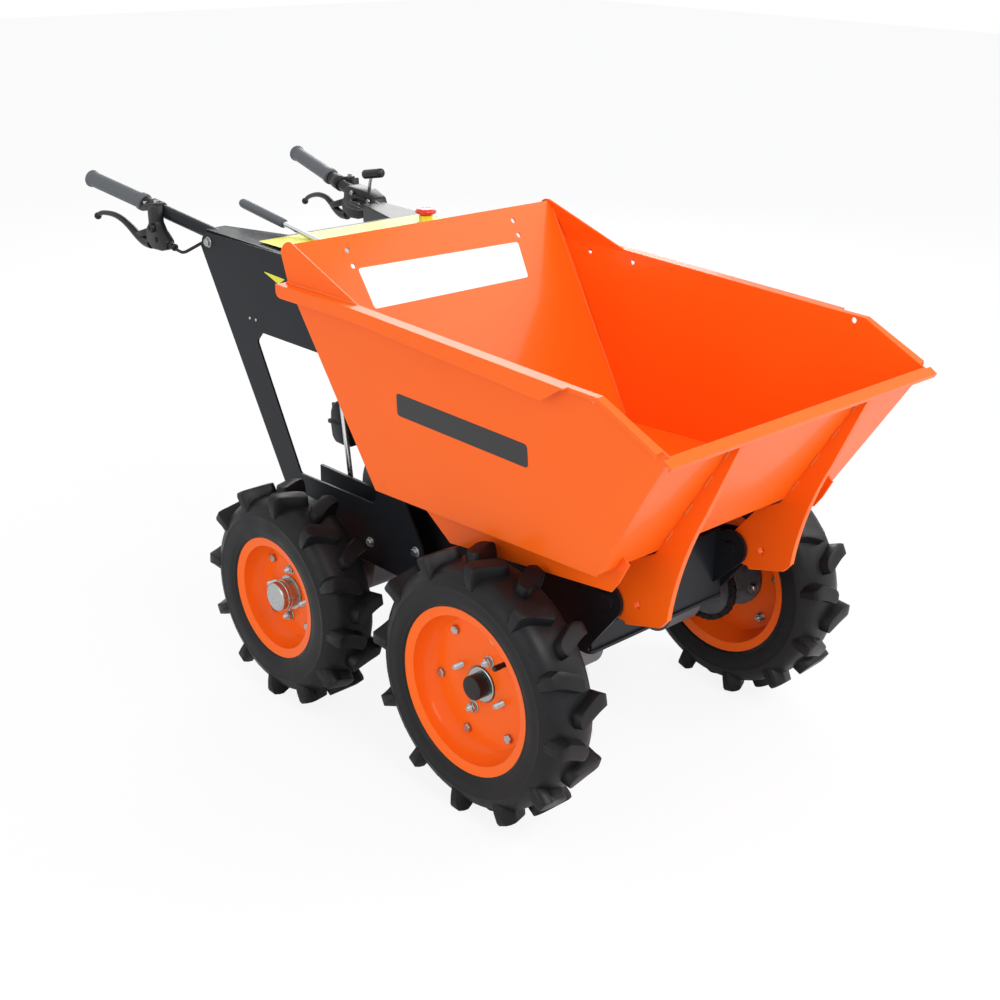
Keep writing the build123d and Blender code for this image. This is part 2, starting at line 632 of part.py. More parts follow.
# Front wall with its top edge folded out and down
LIP_HALF = 318.0
with BuildPart() as front:
    add(plate(
        [front_wall(0), front_wall(FRONT_LENGTH), front_wall(FRONT_LENGTH, -SHEET), front_wall(0, -SHEET)],
        -WALL_TOP_Y - 40, WALL_TOP_Y + 40,
    ))
    between_walls(GAP, Mode.INTERSECT)
    tip = LIP_FLANGE - SHEET
    add(plate(
        [
            front_wall(FRONT_LENGTH), front_wall(FRONT_LENGTH, tip), front_wall(FRONT_LENGTH - LIP_DROP, tip),
            front_wall(FRONT_LENGTH - LIP_DROP, tip - SHEET), front_wall(FRONT_LENGTH - SHEET, tip - SHEET),
            front_wall(FRONT_LENGTH - SHEET),
        ],
        -LIP_HALF, LIP_HALF,
    ))
save(front.part, "hopper_front")

# Floor, with the skirt that stiffens it between the wheels
SKIRT_LOW_REAR = (288, 134)
SKIRT_LOW_FRONT = (641, 173)
with BuildPart() as bed:
    floor_end = front_wall(0, -SHEET)
    floor_line = [(REAR_FOOT.X, REAR_FOOT.Z), floor_end]
    under = [(x, h - SHEET) for x, h in reversed(floor_line)]
    add(plate(floor_line + under, -WALL_TOP_Y - 40, WALL_TOP_Y + 40))
    between_walls(GAP, Mode.INTERSECT)
    skirt_top = [(REAR_FOOT.X + 12, REAR_FOOT.Z - 1), (floor_end[0], floor_end[1] - 2)]
    skirt = [
        skirt_top[0], SKIRT_LOW_REAR, SKIRT_LOW_FRONT, (655, 193), (672, 226), front_wall(24), front_wall(0),
        skirt_top[1],
    ]
    for side in (1, -1):
        add(plate(skirt, side * SKIRT_Y, side * (SKIRT_Y - SHEET)))
    rear_low, rear_high = SKIRT_LOW_REAR, skirt_top[0]
    add(plate(
        [rear_low, rear_high, (rear_high[0] + 5, rear_high[1]), (rear_low[0] + 5, rear_low[1])],
        -SKIRT_Y, SKIRT_Y,
    ))
save(bed.part, "hopper_floor")

# Side walls: leaning sheet, apex plate leaning back in, rim folded out and down
NARROW_FLANGE = 10.0
NARROW_DROP = 7.0
SLOPE_END = (768.0, 440.7)
SIDE_HOLES = {"left": ((53, 492), (160, 490), (641, 482)), "right": ((643, 481),)}
for side_name, side in (("left", 1), ("right", -1)):
    wall_plane = Plane(
        origin=(0, side * WALL_TOP_Y, BED_Z + WALL_MEND), x_dir=(1, 0, 0),
        z_dir=(0, -cos(wall_lean), side * sin(wall_lean)),
    )
    apex_plane = Plane(
        origin=(0, side * WALL_TOP_Y, BED_Z + WALL_MEND), x_dir=(1, 0, 0),
        z_dir=(0, -cos(apex_lean), -side * sin(apex_lean)),
    )
    # Rim path seen from the side, as its top edge
    rim_rear = (-58.0, RIM_H)
    drop_end = (RIM_DROP_END, RIM_H - (RIM_DROP_END - RIM_BREAK[0]) * 0.0374)
    with BuildPart() as side_wall:
        outline = [
            (REAR_FOOT.X - 40, WALL_FOOT_H - SHEET), SIDE_REAR_TOP, RIM_BREAK, drop_end, RIM_FRONT,
            front_wall(FRONT_LENGTH), front_wall(0), (FRONT_FOOT.X - 3, FRONT_FOOT.Z - SHEET - 1),
        ]
        with BuildSketch(wall_plane):
            Polygon(*[(x, (h - WALL_MEND) / cos(wall_lean)) for x, h in outline], align=None)
        extrude(amount=SHEET / 2, both=True)
        with BuildSketch(apex_plane):
            with BuildLine():
                edge = Polyline((-46, 68), (RIM_BREAK[0], 2), (-46, 0), (-76, 50))
                ThreePointArc(edge @ 1, (-68, 65), edge @ 0)
            make_face()
        extrude(amount=SHEET / 2, both=True)
        flange_root = side * (WALL_TOP_Y - 10)
        flange_edge = side * (WALL_TOP_Y + RIM_FLANGE)
        add(plate(
            [
                rim_rear, RIM_BREAK, drop_end, (drop_end[0], drop_end[1] - SHEET),
                (RIM_BREAK[0], RIM_H - SHEET), (rim_rear[0], RIM_H - SHEET),
            ],
            flange_root, flange_edge,
        ))
        with BuildSketch(upright(flange_edge)):
            with BuildLine():
                drop = Polyline(
                    (-58, RIM_H - RIM_DROP + 12), rim_rear, RIM_BREAK, drop_end, (564, RIM_H - RIM_DROP - 24),
                    (RIM_BREAK[0], RIM_H - RIM_DROP), (-46, RIM_H - RIM_DROP),
                )
                ThreePointArc(drop @ 1, (-54.5, RIM_H - RIM_DROP + 3.5), drop @ 0)
            make_face()
        extrude(amount=side * SHEET)
        # Narrow folded edge from the rim's end down the slope to the lip
        narrow_edge = side * (WALL_TOP_Y + NARROW_FLANGE)
        top = [drop_end, RIM_FRONT, SLOPE_END]
        add(plate(top + [(x, h - SHEET) for x, h in reversed(top)], flange_root, narrow_edge))
        add(plate(
            top + [(x, h - NARROW_DROP) for x, h in reversed(top)], narrow_edge, narrow_edge - side * SHEET
        ))
        between_walls(0, Mode.SUBTRACT)
        for x, h in SIDE_HOLES[side_name]:
            add(bar(
                (x, side * (WALL_TOP_Y - 20), BED_Z + h), (x, side * (WALL_TOP_Y + 8), BED_Z + h), HOLE_R
            ), mode=Mode.SUBTRACT)
    save(side_wall.part, f"hopper_side_{side_name}")

# Brackets: thick plates welded under the front wall, which hang on the pivot pins
for side_name, side in (("left", 1), ("right", -1)):
    with BuildPart() as bracket:
        with BuildSketch(upright(side * BRACKET_Y)):
            with BuildLine():
                nose = Polyline(front_wall(0), front_wall(246), (782, 414), (731, 296))
                curve = ThreePointArc(nose @ 1, (697, 214), (676, 129))
                base = Polyline(
                    curve @ 1, (673, 106), (660, 90), (592, 71), (588, 76), (577, 76), (557, 76), (540, 83),
                    (533, 101), (600, 184), (640, 205), front_wall(0),
                )
            make_face()
            for x, h, radius in ((PIVOT_X, PIVOT_H, PIVOT_R + RUN), (614, 112, 6)):
                with Locations((x, h)):
                    Circle(radius, mode=Mode.SUBTRACT)
        extrude(amount=BRACKET_T / 2, both=True)
    save(bracket.part, f"hopper_bracket_{side_name}")
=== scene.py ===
# Walk-behind site dumper: finishes, tread, fasteners, welds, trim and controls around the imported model.
import json
import math

import bmesh
import bpy
from mathutils import Matrix, Vector


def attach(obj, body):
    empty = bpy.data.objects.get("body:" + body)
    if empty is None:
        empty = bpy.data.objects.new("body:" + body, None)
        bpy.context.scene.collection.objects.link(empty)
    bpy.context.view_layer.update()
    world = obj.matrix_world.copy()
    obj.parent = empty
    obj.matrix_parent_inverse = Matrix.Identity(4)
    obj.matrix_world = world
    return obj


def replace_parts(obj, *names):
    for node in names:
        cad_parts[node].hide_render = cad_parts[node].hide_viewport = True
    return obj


bpy.ops.wm.read_factory_settings(use_empty=True)
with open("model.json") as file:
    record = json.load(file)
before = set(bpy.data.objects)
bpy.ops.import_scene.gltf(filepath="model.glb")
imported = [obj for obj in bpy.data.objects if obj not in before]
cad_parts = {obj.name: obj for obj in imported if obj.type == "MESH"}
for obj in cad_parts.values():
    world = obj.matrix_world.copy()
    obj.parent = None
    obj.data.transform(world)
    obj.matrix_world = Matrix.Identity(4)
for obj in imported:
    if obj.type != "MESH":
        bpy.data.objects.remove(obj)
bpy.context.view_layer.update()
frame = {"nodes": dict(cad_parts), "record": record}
nodes = frame["nodes"]

# ---------------------------------------------------------------- tyres
# Small tractor tyres, moulded in carbon-black rubber: a domed casing with twelve curved lugs to each
# side, swept forward from the shoulder to the crown so that they bite and clear mud as the wheel turns.
hinges = {joint["child"]: [1000 * c for c in joint["pos_m"]] for joint in frame["record"]["behaviour"]["joints"]}
AXLES = {axle: hinges[f"wheel_{axle}_left"] for axle in ("front", "rear")}  # millimetres, like every mesh below
WHEEL_Y = AXLES["front"][1]
RIM_FLANGE_R = {"front": 139.5, "rear": 111.8}
TYRE_LUGS = 12
LUG_CORNER = -22.0  # along the tread, the lug's corner that stands lowest
LUG_EASE = 1.3
CASING_STEPS = 96
SHOULDER = 46  # outward of the wheel's middle, where a lug's root stops
# Edges of one lug from the sidewall over the shoulder to the crown: along the tread, outward, below the tread
LUG_BACK = (
    (-10, 50.5, 37), (-13, 51.5, 22), (-16, 51.2, 7), (-17.5, 48.5, 1.5), (-20.5, 40, 0), (-22, 32, 0),
    (-17.5, 22, 0), (-12, 11, 0), (-7, 1, 0), (-3, -5, 0), (3, -9.5, 0), (8, -11, 0),
)
LUG_FRONT = (
    (3, 50.5, 37), (2.5, 51.5, 22), (1.5, 51.2, 7), (1.5, 48.5, 1.5), (3, 40, 0), (6, 31, 0),
    (10, 22, 0), (14.5, 13, 0), (19, 5, 0), (22, -0.5, 0), (21.5, -5.5, 0), (16.5, -9.5, 0),
)


def linear(colour):
    """Linear RGBA from an sRGB hex colour such as "1f2327"."""
    shares = [int(colour[i : i + 2], 16) / 255 for i in (0, 2, 4)]
    return (*(s / 12.92 if s <= 0.04045 else ((s + 0.055) / 1.055) ** 2.4 for s in shares), 1)


def node(tree, kind, inputs=(), **settings):
    """Add one shader node with its properties set and its inputs set or linked."""
    made = tree.nodes.new("ShaderNode" + kind)
    for name, value in settings.items():
        setattr(made, name, value)
    for name, value in dict(inputs).items():
        if isinstance(value, bpy.types.NodeSocket):
            tree.links.new(value, made.inputs[name])
        else:
            made.inputs[name].default_value = value
    return made


def finish(name, build):
    """New material whose shader, made by build(tree), is wired to the output."""
    made = bpy.data.materials.new(name)
    made.use_nodes = True
    tree = made.node_tree
    tree.nodes.clear()
    shader = build(tree)
    node(tree, "OutputMaterial", {"Surface": shader.outputs["BSDF"]})
    return made


def coat(starts, material):
    """Give the CAD nodes whose names start so their finish."""
    for name, made in nodes.items():
        if name.startswith(starts):
            made.data.materials.clear()
            made.data.materials.append(material)


def piece(name, mesh, material, body, sharp=35):
    """Object from a bmesh drawn in millimetres: smooth between sharp edges, finished, riding on a body."""
    bmesh.ops.recalc_face_normals(mesh, faces=mesh.faces)
    data = bpy.data.meshes.new(name)
    mesh.to_mesh(data)
    mesh.free()
    data.transform(Matrix.Scale(0.001, 4))
    data.shade_smooth()
    data.set_sharp_from_angle(angle=math.radians(sharp))
    data.materials.append(material)
    made = bpy.data.objects.new(name, data)
    bpy.context.scene.collection.objects.link(made)
    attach(made, body)
    return made


def skin(mesh, rows, ends=True):
    """Skin of quads between rows of points, each row a ring, with its two ends filled unless told not to."""
    made = [[mesh.verts.new(p) for p in row] for row in rows]
    for near, far in zip(made, made[1:]):
        for i in range(len(near)):
            j = (i + 1) % len(near)
            mesh.faces.new((near[i], near[j], far[j], far[i]))
    if ends:
        mesh.faces.new(made[0][::-1])
        mesh.faces.new(made[-1])


def turned(mesh, place, axis, profile, sides=24, turn=0.0):
    """Closed body turned about an axis through place; profile is (radius, distance along the axis)."""
    along = Vector(axis).normalized()
    across = Vector((1, 0, 0)) if abs(along.y) > 0.9 else along.orthogonal().normalized()
    over = along.cross(across)
    place = Vector(place)
    angles = [math.tau * i / sides + math.radians(turn) for i in range(sides)]
    skin(mesh, [
        [place + along * far + (across * math.cos(a) + over * math.sin(a)) * max(r, 0.01) for a in angles]
        for r, far in profile
    ])


def copied(mesh, source, turn):
    """Add a copy of a mesh, moved by a matrix, to a bmesh."""
    source.transform(turn)
    mesh.from_mesh(source)
    source.transform(turn.inverted())


def moulded_rubber(tree):
    """Carbon-black tread rubber: near black, semi-matt, with cloudy patches of more and less shine."""
    place = node(tree, "TexCoord").outputs["Object"]
    cloud = node(tree, "TexNoise", {"Vector": place, "Scale": 22.0, "Detail": 4.0})
    grain = node(tree, "TexNoise", {"Vector": place, "Scale": 1000 / 2.2, "Detail": 2.0})
    tone = node(tree, "Mix", {"Factor": cloud.outputs["Fac"], "A": linear("0e0e0f"), "B": linear("1d1e20")},
                data_type="RGBA")
    gloss = node(tree, "MapRange", {"Value": cloud.outputs["Fac"], "From Min": 0.35, "From Max": 0.65,
                                    "To Min": 0.32, "To Max": 0.5})
    bump = node(tree, "Bump", {"Height": grain.outputs["Fac"], "Strength": 0.25, "Distance": 0.0004})
    return node(tree, "BsdfPrincipled", {
        "Base Color": tone.outputs["Result"], "Roughness": gloss.outputs["Result"],
        "Specular IOR Level": 0.2, "Normal": bump.outputs["Normal"],
    })


tyre_rubber = finish("moulded_tyre_rubber", moulded_rubber)

for axle, (axle_x, _, axle_z) in AXLES.items():
    tyre_r = axle_z  # the tyres stand on the ground
    foot = tyre_r - RIM_FLANGE_R[axle]
    casing = [  # outward of the middle, below the tread circle
        (0, 16.5), (12, 16.8), (22, 17.8), (31, 20), (39, 24), (45.5, 31), (49, 38), (50.6, 43), (51.4, 45),
        (51.8, 46.5), (51.4, 48), (51.6, 54), (51.4, foot * 0.78), (50.2, foot * 0.89), (49.2, foot * 0.92),
        (49.4, foot * 0.94), (48.2, foot * 0.97), (46.6, foot - 0.4), (43, foot - 0.3), (38, foot + 10),
    ]
    casing = [(-u, deep) for u, deep in reversed(casing[1:])] + casing

    def sunk(u):
        """How far below the tread circle the casing lies at a distance from the middle."""
        crown = [(a, b) for a, b in casing if a >= 0][:8]
        for (near, shallow), (far, deep) in zip(crown, crown[1:]):
            if u <= far:
                return shallow + (deep - shallow) * (u - near) / (far - near)
        return crown[-1][1]

    for side_name, side in (("left", 1), ("right", -1)):
        def on_wheel(angle, u, radius):
            """Point at an angle from straight up towards the front, outward of the middle, at a radius."""
            ahead, above = radius * math.sin(angle), radius * math.cos(angle)
            return Vector((axle_x + ahead, side * (WHEEL_Y + u), axle_z + above))

        tyre = bmesh.new()
        skin(tyre, [
            [on_wheel(math.tau * i / CASING_STEPS, u, tyre_r - deep) for i in range(CASING_STEPS)]
            for u, deep in casing
        ], ends=False)
        for shoulder in (1, -1):
            lug = bmesh.new()
            rows = []
            for (back_s, back_u, deep), (front_s, front_u, _) in zip(LUG_BACK, LUG_FRONT):
                top_r = tyre_r - deep
                edge = []
                for t in (0, 0.33, 0.67, 1):
                    along_tread = back_s + (front_s - back_s) * t
                    outward = shoulder * (back_u + (front_u - back_u) * t)
                    edge.append(on_wheel(along_tread / tyre_r, outward, top_r))
                root_r = tyre_r - sunk(abs(min(max(back_u, front_u), SHOULDER))) - 4
                if deep > 30:
                    root_r = top_r - 6
                root_r = min(root_r, top_r - 3)
                flare = 2.5 if deep > 5 else 4.5
                back_root, front_root = (
                    on_wheel((s + spread) / tyre_r, shoulder * (min(u, SHOULDER) - (2 if u < 0 else 0)), root_r)
                    for s, u, spread in ((back_s, back_u, -flare), (front_s, front_u, flare))
                )
                rows.append([back_root, *edge, front_root])
            skin(lug, rows)
            bmesh.ops.recalc_face_normals(lug, faces=lug.faces)
            rims = [e for e in lug.edges if e.calc_face_angle(0) > math.radians(38)]
            bmesh.ops.bevel(lug, geom=rims, offset=LUG_EASE, segments=2, profile=0.6, affect="EDGES")
            solid = bpy.data.meshes.new("lug")
            lug.to_mesh(solid)
            lug.free()
            down = math.pi - math.atan2(LUG_CORNER, tyre_r)
            stagger = 0 if shoulder > 0 else math.pi / TYRE_LUGS
            middle = Vector((axle_x, 0, axle_z))
            for turn in range(TYRE_LUGS):
                spin = Matrix.Rotation(down + stagger + math.tau * turn / TYRE_LUGS, 4, "Y")
                copied(tyre, solid, Matrix.Translation(middle) @ spin @ Matrix.Translation(-middle))
            bpy.data.meshes.remove(solid)
        made = piece(f"tread_{axle}_{side_name}", tyre, tyre_rubber, f"wheel_{axle}_{side_name}", sharp=32)
        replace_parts(made, f"tyre_{axle}_{side_name}")

# ---------------------------------------------------------------- hopper and wheel rims
# Folded and welded 3 mm sheet steel and pressed rims, sprayed with orange enamel and baked. The coat is
# glossy, with an orange peel a few millimetres across, and a painted highlight of paler orange along its folds.
ENAMEL_PEEL_MM = 5.0
FOLD_R = 0.0022  # metres


def orange_enamel_coat(tree):
    """Baked orange enamel: saturated, smooth and glossy, with a painted highlight of paler orange on folds and
    edges.
    """
    place = node(tree, "TexCoord").outputs["Object"]
    peel = node(tree, "TexNoise", {"Vector": place, "Scale": 1000 / ENAMEL_PEEL_MM, "Detail": 1.0})
    waves = node(tree, "TexNoise", {"Vector": place, "Scale": 7.0, "Detail": 1.0})
    cloud = node(tree, "TexNoise", {"Vector": place, "Scale": 4.0, "Detail": 2.0})
    tone = node(tree, "Mix", {"Factor": cloud.outputs["Fac"], "A": linear("f8620e"), "B": linear("fb6a14")},
                data_type="RGBA")
    folded = node(tree, "Bevel", {"Radius": FOLD_R}, samples=4)
    flat = node(tree, "NewGeometry")
    turn = node(tree, "VectorMath", {0: folded.outputs["Normal"], 1: flat.outputs["Normal"]},
                operation="DOT_PRODUCT")
    # Painted highlight: where the bevelled normal turns away from the flat one, along folds and edges, the orange is
    # mixed towards a paler orange.
    fold_highlight = node(tree, "MapRange", {"Value": turn.outputs["Value"], "From Min": 1.0, "From Max": 0.8,
                                   "To Min": 0.0, "To Max": 0.6})
    tone_and_fold_highlight = node(tree, "Mix", {"Factor": fold_highlight.outputs["Result"], "A": tone.outputs["Result"],
                                   "B": linear("ff8a4a")}, data_type="RGBA")
    rolled = node(tree, "Bump", {"Height": waves.outputs["Fac"], "Strength": 0.25, "Distance": 0.004,
                                 "Normal": folded.outputs["Normal"]})
    bump = node(tree, "Bump", {"Height": peel.outputs["Fac"], "Strength": 0.06, "Distance": 0.0005,
                               "Normal": rolled.outputs["Normal"]})
    return node(tree, "BsdfPrincipled", {
        "Base Color": tone_and_fold_highlight.outputs["Result"], "Roughness": 0.4, "Specular IOR Level": 0.12,
        "Coat Weight": 0.2, "Coat Roughness": 0.12, "Normal": bump.outputs["Normal"],
    })


orange_enamel = finish("orange_baked_enamel", orange_enamel_coat)
coat(("hopper", "rim"), orange_enamel)

# ---------------------------------------------------------------- wheel fasteners, hub caps and valves
# Each pair of rim pressings is clamped by M8 hex bolts, and the wheel sits on four M10 studs of which two
# carry nuts. Steel, turned or forged, then zinc plated: a pale, slightly blue skin with a satin gleam.
DISC_Y = 319.5
DISC_BACK_Y = 315.5
HUB_FACE_Y = 305.4
THREAD_PITCH = 0.9
STUDS = ((161, False), (70, True), (-17, False), (-110, True))  # degrees from the front upwards, with nut
STUD_CIRCLES = {"front": (49.6, 0), "rear": (48.0, 14)}  # radius, turn of the studs in degrees


def threaded(mesh, place, axis, radius, start, end):
    """Threaded rod end as fine rings with a chamfered tip."""
    rows = [(radius, start)]
    for i in range(int((end - start) / THREAD_PITCH)):
        rows += [(radius, start + i * THREAD_PITCH + 0.1), (radius - 0.45, start + i * THREAD_PITCH + 0.5)]
    turned(mesh, place, axis, rows + [(radius - 0.3, end - 0.8), (radius - 1.2, end)], 14)


def bolted(mesh, place, axis, across, head, washer=0.0, end=0.0, rod=0.0, turn=0.0):
    """Chamfered hex head or nut at place, on its washer, with the rod's end through it."""
    seat = 0.0
    if washer:
        turned(mesh, place, axis, [(washer, 0), (washer, 1.3), (washer - 0.6, 1.8)], 24)
        seat = 1.8
    corner = across / math.sqrt(3)
    turned(mesh, place, axis, [
        (corner * 0.97, seat), (corner, seat + 0.4), (corner, seat + head * 0.78), (corner * 0.87, seat + head),
    ], 6, turn)
    if end:
        threaded(mesh, place, axis, rod, seat + head - 0.2, seat + head + end)
    else:
        turned(mesh, place, axis, [(corner * 0.62, seat + head - 0.2), (corner * 0.6, seat + head + 0.25)], 20)


def zinc_plating(tree):
    """Zinc-plated steel: metallic, with a faint blue passivation and cloudy patches a few millimetres wide."""
    place = node(tree, "TexCoord").outputs["Object"]
    cloud = node(tree, "TexNoise", {"Vector": place, "Scale": 1000 / 6.0, "Detail": 3.0})
    tone = node(tree, "Mix", {"Factor": cloud.outputs["Fac"], "A": linear("a3a8aa"), "B": linear("bfc1bd")},
                data_type="RGBA")
    gloss = node(tree, "MapRange", {"Value": cloud.outputs["Fac"], "To Min": 0.2, "To Max": 0.38})
    return node(tree, "BsdfPrincipled", {"Base Color": tone.outputs["Result"], "Metallic": 1.0,
                                         "Roughness": gloss.outputs["Result"]})


zinc = finish("zinc_plated_steel", zinc_plating)


def turned_steel(tree):
    """Front hubs in bare turned steel: mid grey metal, cloudy and unevenly bright where the oil lies."""
    place = node(tree, "TexCoord").outputs["Object"]
    oil = node(tree, "TexNoise", {"Vector": place, "Scale": 1000 / 25.0, "Detail": 3.0})
    tone = node(tree, "Mix", {"Factor": oil.outputs["Fac"], "A": linear("4f5153"), "B": linear("838587")},
                data_type="RGBA")
    gloss = node(tree, "MapRange", {"Value": oil.outputs["Fac"], "To Min": 0.25, "To Max": 0.5})
    return node(tree, "BsdfPrincipled", {"Base Color": tone.outputs["Result"], "Metallic": 0.9,
                                         "Roughness": gloss.outputs["Result"]})


coat("hub_rear", zinc)
coat("hub_front", finish("turned_hub_steel", turned_steel))


def black_oxide(tree):
    """Blackened, oiled steel and painted iron: near black with a soft gleam."""
    place = node(tree, "TexCoord").outputs["Object"]
    cloud = node(tree, "TexNoise", {"Vector": place, "Scale": 60.0, "Detail": 3.0})
    tone = node(tree, "Mix", {"Factor": cloud.outputs["Fac"], "A": linear("121214"), "B": linear("1f1d1e")},
                data_type="RGBA")
    return node(tree, "BsdfPrincipled", {"Base Color": tone.outputs["Result"], "Roughness": 0.34,
                                         "Specular IOR Level": 0.3})


black_steel = finish("black_oxide_steel", black_oxide)

RIM_BOLTS = {  # radius, angles from the front upwards
    "front": (94.8, (129, 72, 11, -47, -108, -170)),
    "rear": (71.0, (134, 44, -46, -136)),
}
VALVES = {"front": (61.0, 63.0, 352.0), "rear": (-110.0, -38.0, 334.0)}  # from the axle forward and up, tip's y
for axle, (axle_x, _, axle_z) in AXLES.items():
    for side_name, side in (("left", 1), ("right", -1)):
        body = f"wheel_{axle}_{side_name}"
        outward = (0, side, 0)
        inward = (0, -side, 0)

        def around(radius, angle, y):
            """Point on a bolt circle of this wheel, at an angle in degrees from the front upwards."""
            turn = math.radians(angle)
            return Vector((axle_x + radius * math.cos(turn), side * y, axle_z + radius * math.sin(turn)))

        metal = bmesh.new()
        ring_r, angles = RIM_BOLTS[axle]
        for angle in angles:
            bolted(metal, around(ring_r, angle, DISC_Y), outward, 14, 6.2, turn=angle + 12)
            bolted(metal, around(ring_r, angle, DISC_BACK_Y), inward, 13, 7, washer=9, end=5, rod=4, turn=angle)
        stud_r, stud_turn = STUD_CIRCLES[axle]
        for angle, nut in STUDS:
            angle += stud_turn
            stud = around(stud_r, angle, DISC_Y)
            if nut:
                bolted(metal, stud, outward, 15, 6.5, washer=10.5, end=7, rod=4.8, turn=angle)
            else:
                threaded(metal, stud, outward, 4.8, 0, 17.5)
            turned(metal, around(stud_r, angle, HUB_FACE_Y), inward, [(8, 0), (8, 4), (6.5, 6)], 18)
        hub = (axle_x, side * DISC_Y, axle_z)
        if axle == "front":
            turned(metal, hub, outward, [(28.5, 0), (29, 0.6), (29, 2.4), (28, 3.2), (12, 3.2)], 48)
            cap = bmesh.new()
            turned(cap, hub, outward, [(20.2, 2), (20.2, 19.5), (20, 21.4), (19.2, 22.4), (17, 22.7)], 48)
            piece(f"hub_cap_{side_name}_front", cap, black_steel, body, sharp=30)
        else:
            turned(metal, hub, outward, [
                (31, 0), (31.5, 0.6), (31.5, 3), (26.6, 3.4), (26.6, 13), (27.8, 13.6), (27.8, 17.4), (26.6, 18),
                (26.6, 20.4), (27.6, 21), (27.6, 24.4), (26.5, 25), (26.5, 33.5), (26, 34.8), (24.8, 35.6),
            ], 56)
        piece(f"wheel_bolts_{axle}_{side_name}", metal, zinc, body, sharp=28)
        stem = bmesh.new()
        forward, above, tip = VALVES[axle]
        foot = (axle_x + forward, side * DISC_Y, axle_z + above)
        length = tip - DISC_Y
        turned(stem, foot, outward, [
            (6.5, 0), (6.2, 2), (4.6, 5), (4.4, length * 0.55), (4.8, length * 0.58), (4.8, length - 1.5),
            (4, length),
        ], 20)
        piece(f"valve_{axle}_{side_name}", stem, black_steel, body)

# ---------------------------------------------------------------- drive chain and its sprockets
# Half-inch roller chain: pressed side plates, pins and rollers of blackened steel, on thirty-tooth
# sprockets welded to both left hubs, so that one shaft drives front and rear wheels together.
PITCH = 12.7
PITCH_R = 60.7
CHAIN_Y = 230.0
SPROCKET_TEETH = 30
low_end, high_end = (Vector((AXLES[axle][0], CHAIN_Y, AXLES[axle][2])) for axle in ("rear", "front"))
span = (high_end - low_end).length
ahead = (high_end - low_end).normalized()
above = Vector((-ahead.z, 0, ahead.x))
links = round((2 * span + math.tau * PITCH_R) / PITCH / 2) * 2


def on_chain(way):
    """Point and direction on the chain's pitch line, a way along it from the top of the rear sprocket."""
    way %= 2 * span + math.tau * PITCH_R
    if way < span:
        return low_end + above * PITCH_R + ahead * way, ahead
    way -= span
    if way < math.pi * PITCH_R:
        turn = way / PITCH_R
        out = above * math.cos(turn) + ahead * math.sin(turn)
        return high_end + out * PITCH_R, ahead * math.cos(turn) - above * math.sin(turn)
    way -= math.pi * PITCH_R
    if way < span:
        return high_end - above * PITCH_R - ahead * way, -ahead
    way -= span
    turn = way / PITCH_R
    out = -above * math.cos(turn) - ahead * math.sin(turn)
    return low_end + out * PITCH_R, above * math.sin(turn) - ahead * math.cos(turn)


chain = bmesh.new()
step = (2 * span + math.tau * PITCH_R) / links
PLATE_R = 5.4
WAIST = 4.2
PIN_HALF = 7.2
ROLLER_HALF = 3.4  # half the inner width, for rollers and sprocket teeth alike
outline = []
for a in (-110, -60, 0, 60, 110):
    turn = math.radians(a)
    outline.append((PITCH / 2 + PLATE_R * math.cos(turn), PLATE_R * math.sin(turn)))
outline = outline + [(0, WAIST)] + [(-x, y) for x, y in reversed(outline)] + [(0, -WAIST)]
for i in range(links):
    (near, _), (far, _) = on_chain(i * step), on_chain((i + 1) * step)
    along = (far - near).normalized()
    over = Vector((-along.z, 0, along.x))
    middle = (near + far) / 2
    plate = (3.4, 4.8) if i % 2 else (4.9, 6.2)  # inner and outer links' plates, by their two faces
    for side in (1, -1):
        skin(chain, [
            [middle + along * x + over * z + Vector((0, side * y, 0)) for x, z in outline] for y in plate
        ])
    turned(chain, near, (0, 1, 0), [(1.8, -PIN_HALF), (1.8, PIN_HALF)], 8)
    turned(chain, near, (0, 1, 0), [(4.1, -ROLLER_HALF), (4.1, ROLLER_HALF)], 10)
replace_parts(piece("roller_chain", chain, black_steel, "chassis", sharp=30), "drive_chain")

for axle, (axle_x, _, axle_z) in AXLES.items():
    sprocket = bmesh.new()
    teeth = []
    for i in range(SPROCKET_TEETH):
        for share, radius in ((0.0, 56.2), (0.16, 57.2), (0.36, 62.8), (0.5, 64.2), (0.64, 62.8), (0.84, 57.2)):
            teeth.append((radius, math.tau * (i + share) / SPROCKET_TEETH))
    rows = []
    for inset, y in ((8, -ROLLER_HALF), (0, -ROLLER_HALF), (0, ROLLER_HALF), (8, ROLLER_HALF)):
        rows.append([
            Vector((axle_x + (r - inset) * math.sin(a), CHAIN_Y + y, axle_z + (r - inset) * math.cos(a)))
            for r, a in teeth
        ])
    skin(sprocket, rows + rows[:1], ends=False)
    bmesh.ops.remove_doubles(sprocket, verts=sprocket.verts, dist=0.001)
    piece(f"sprocket_teeth_{axle}", sprocket, black_steel, f"wheel_{axle}_left", sharp=30)

# ---------------------------------------------------------------- hopper trim
# Blank vinyl plates stand where such hoppers carry their signs, one black on each side wall and one white
# on the rear wall, each with rounded corners and pressed flat on the enamel.
VINYL_T = 0.35


def sticker(name, corners, out, radius, material, body):
    """Thin sheet with rounded corners, lying on four corners and thickened outward."""
    corners = [Vector(c) for c in corners]
    out = Vector(out).normalized()
    ring = []
    for i, corner in enumerate(corners):
        back = (corners[i - 1] - corner).normalized()
        on = (corners[(i + 1) % len(corners)] - corner).normalized()
        opening = back.angle(on)
        reach = min(radius / math.tan(opening / 2), (corners[i - 1] - corner).length / 2.1)
        start, end = corner + back * reach, corner + on * reach
        for t in (0, 0.25, 0.5, 0.75, 1):
            ring.append(start * (1 - t) ** 2 + corner * 2 * t * (1 - t) + end * t**2)
    mesh = bmesh.new()
    skin(mesh, [[p + out * h for p in ring] for h in (0.02, VINYL_T)])
    return piece(name, mesh, material, body, sharp=30)


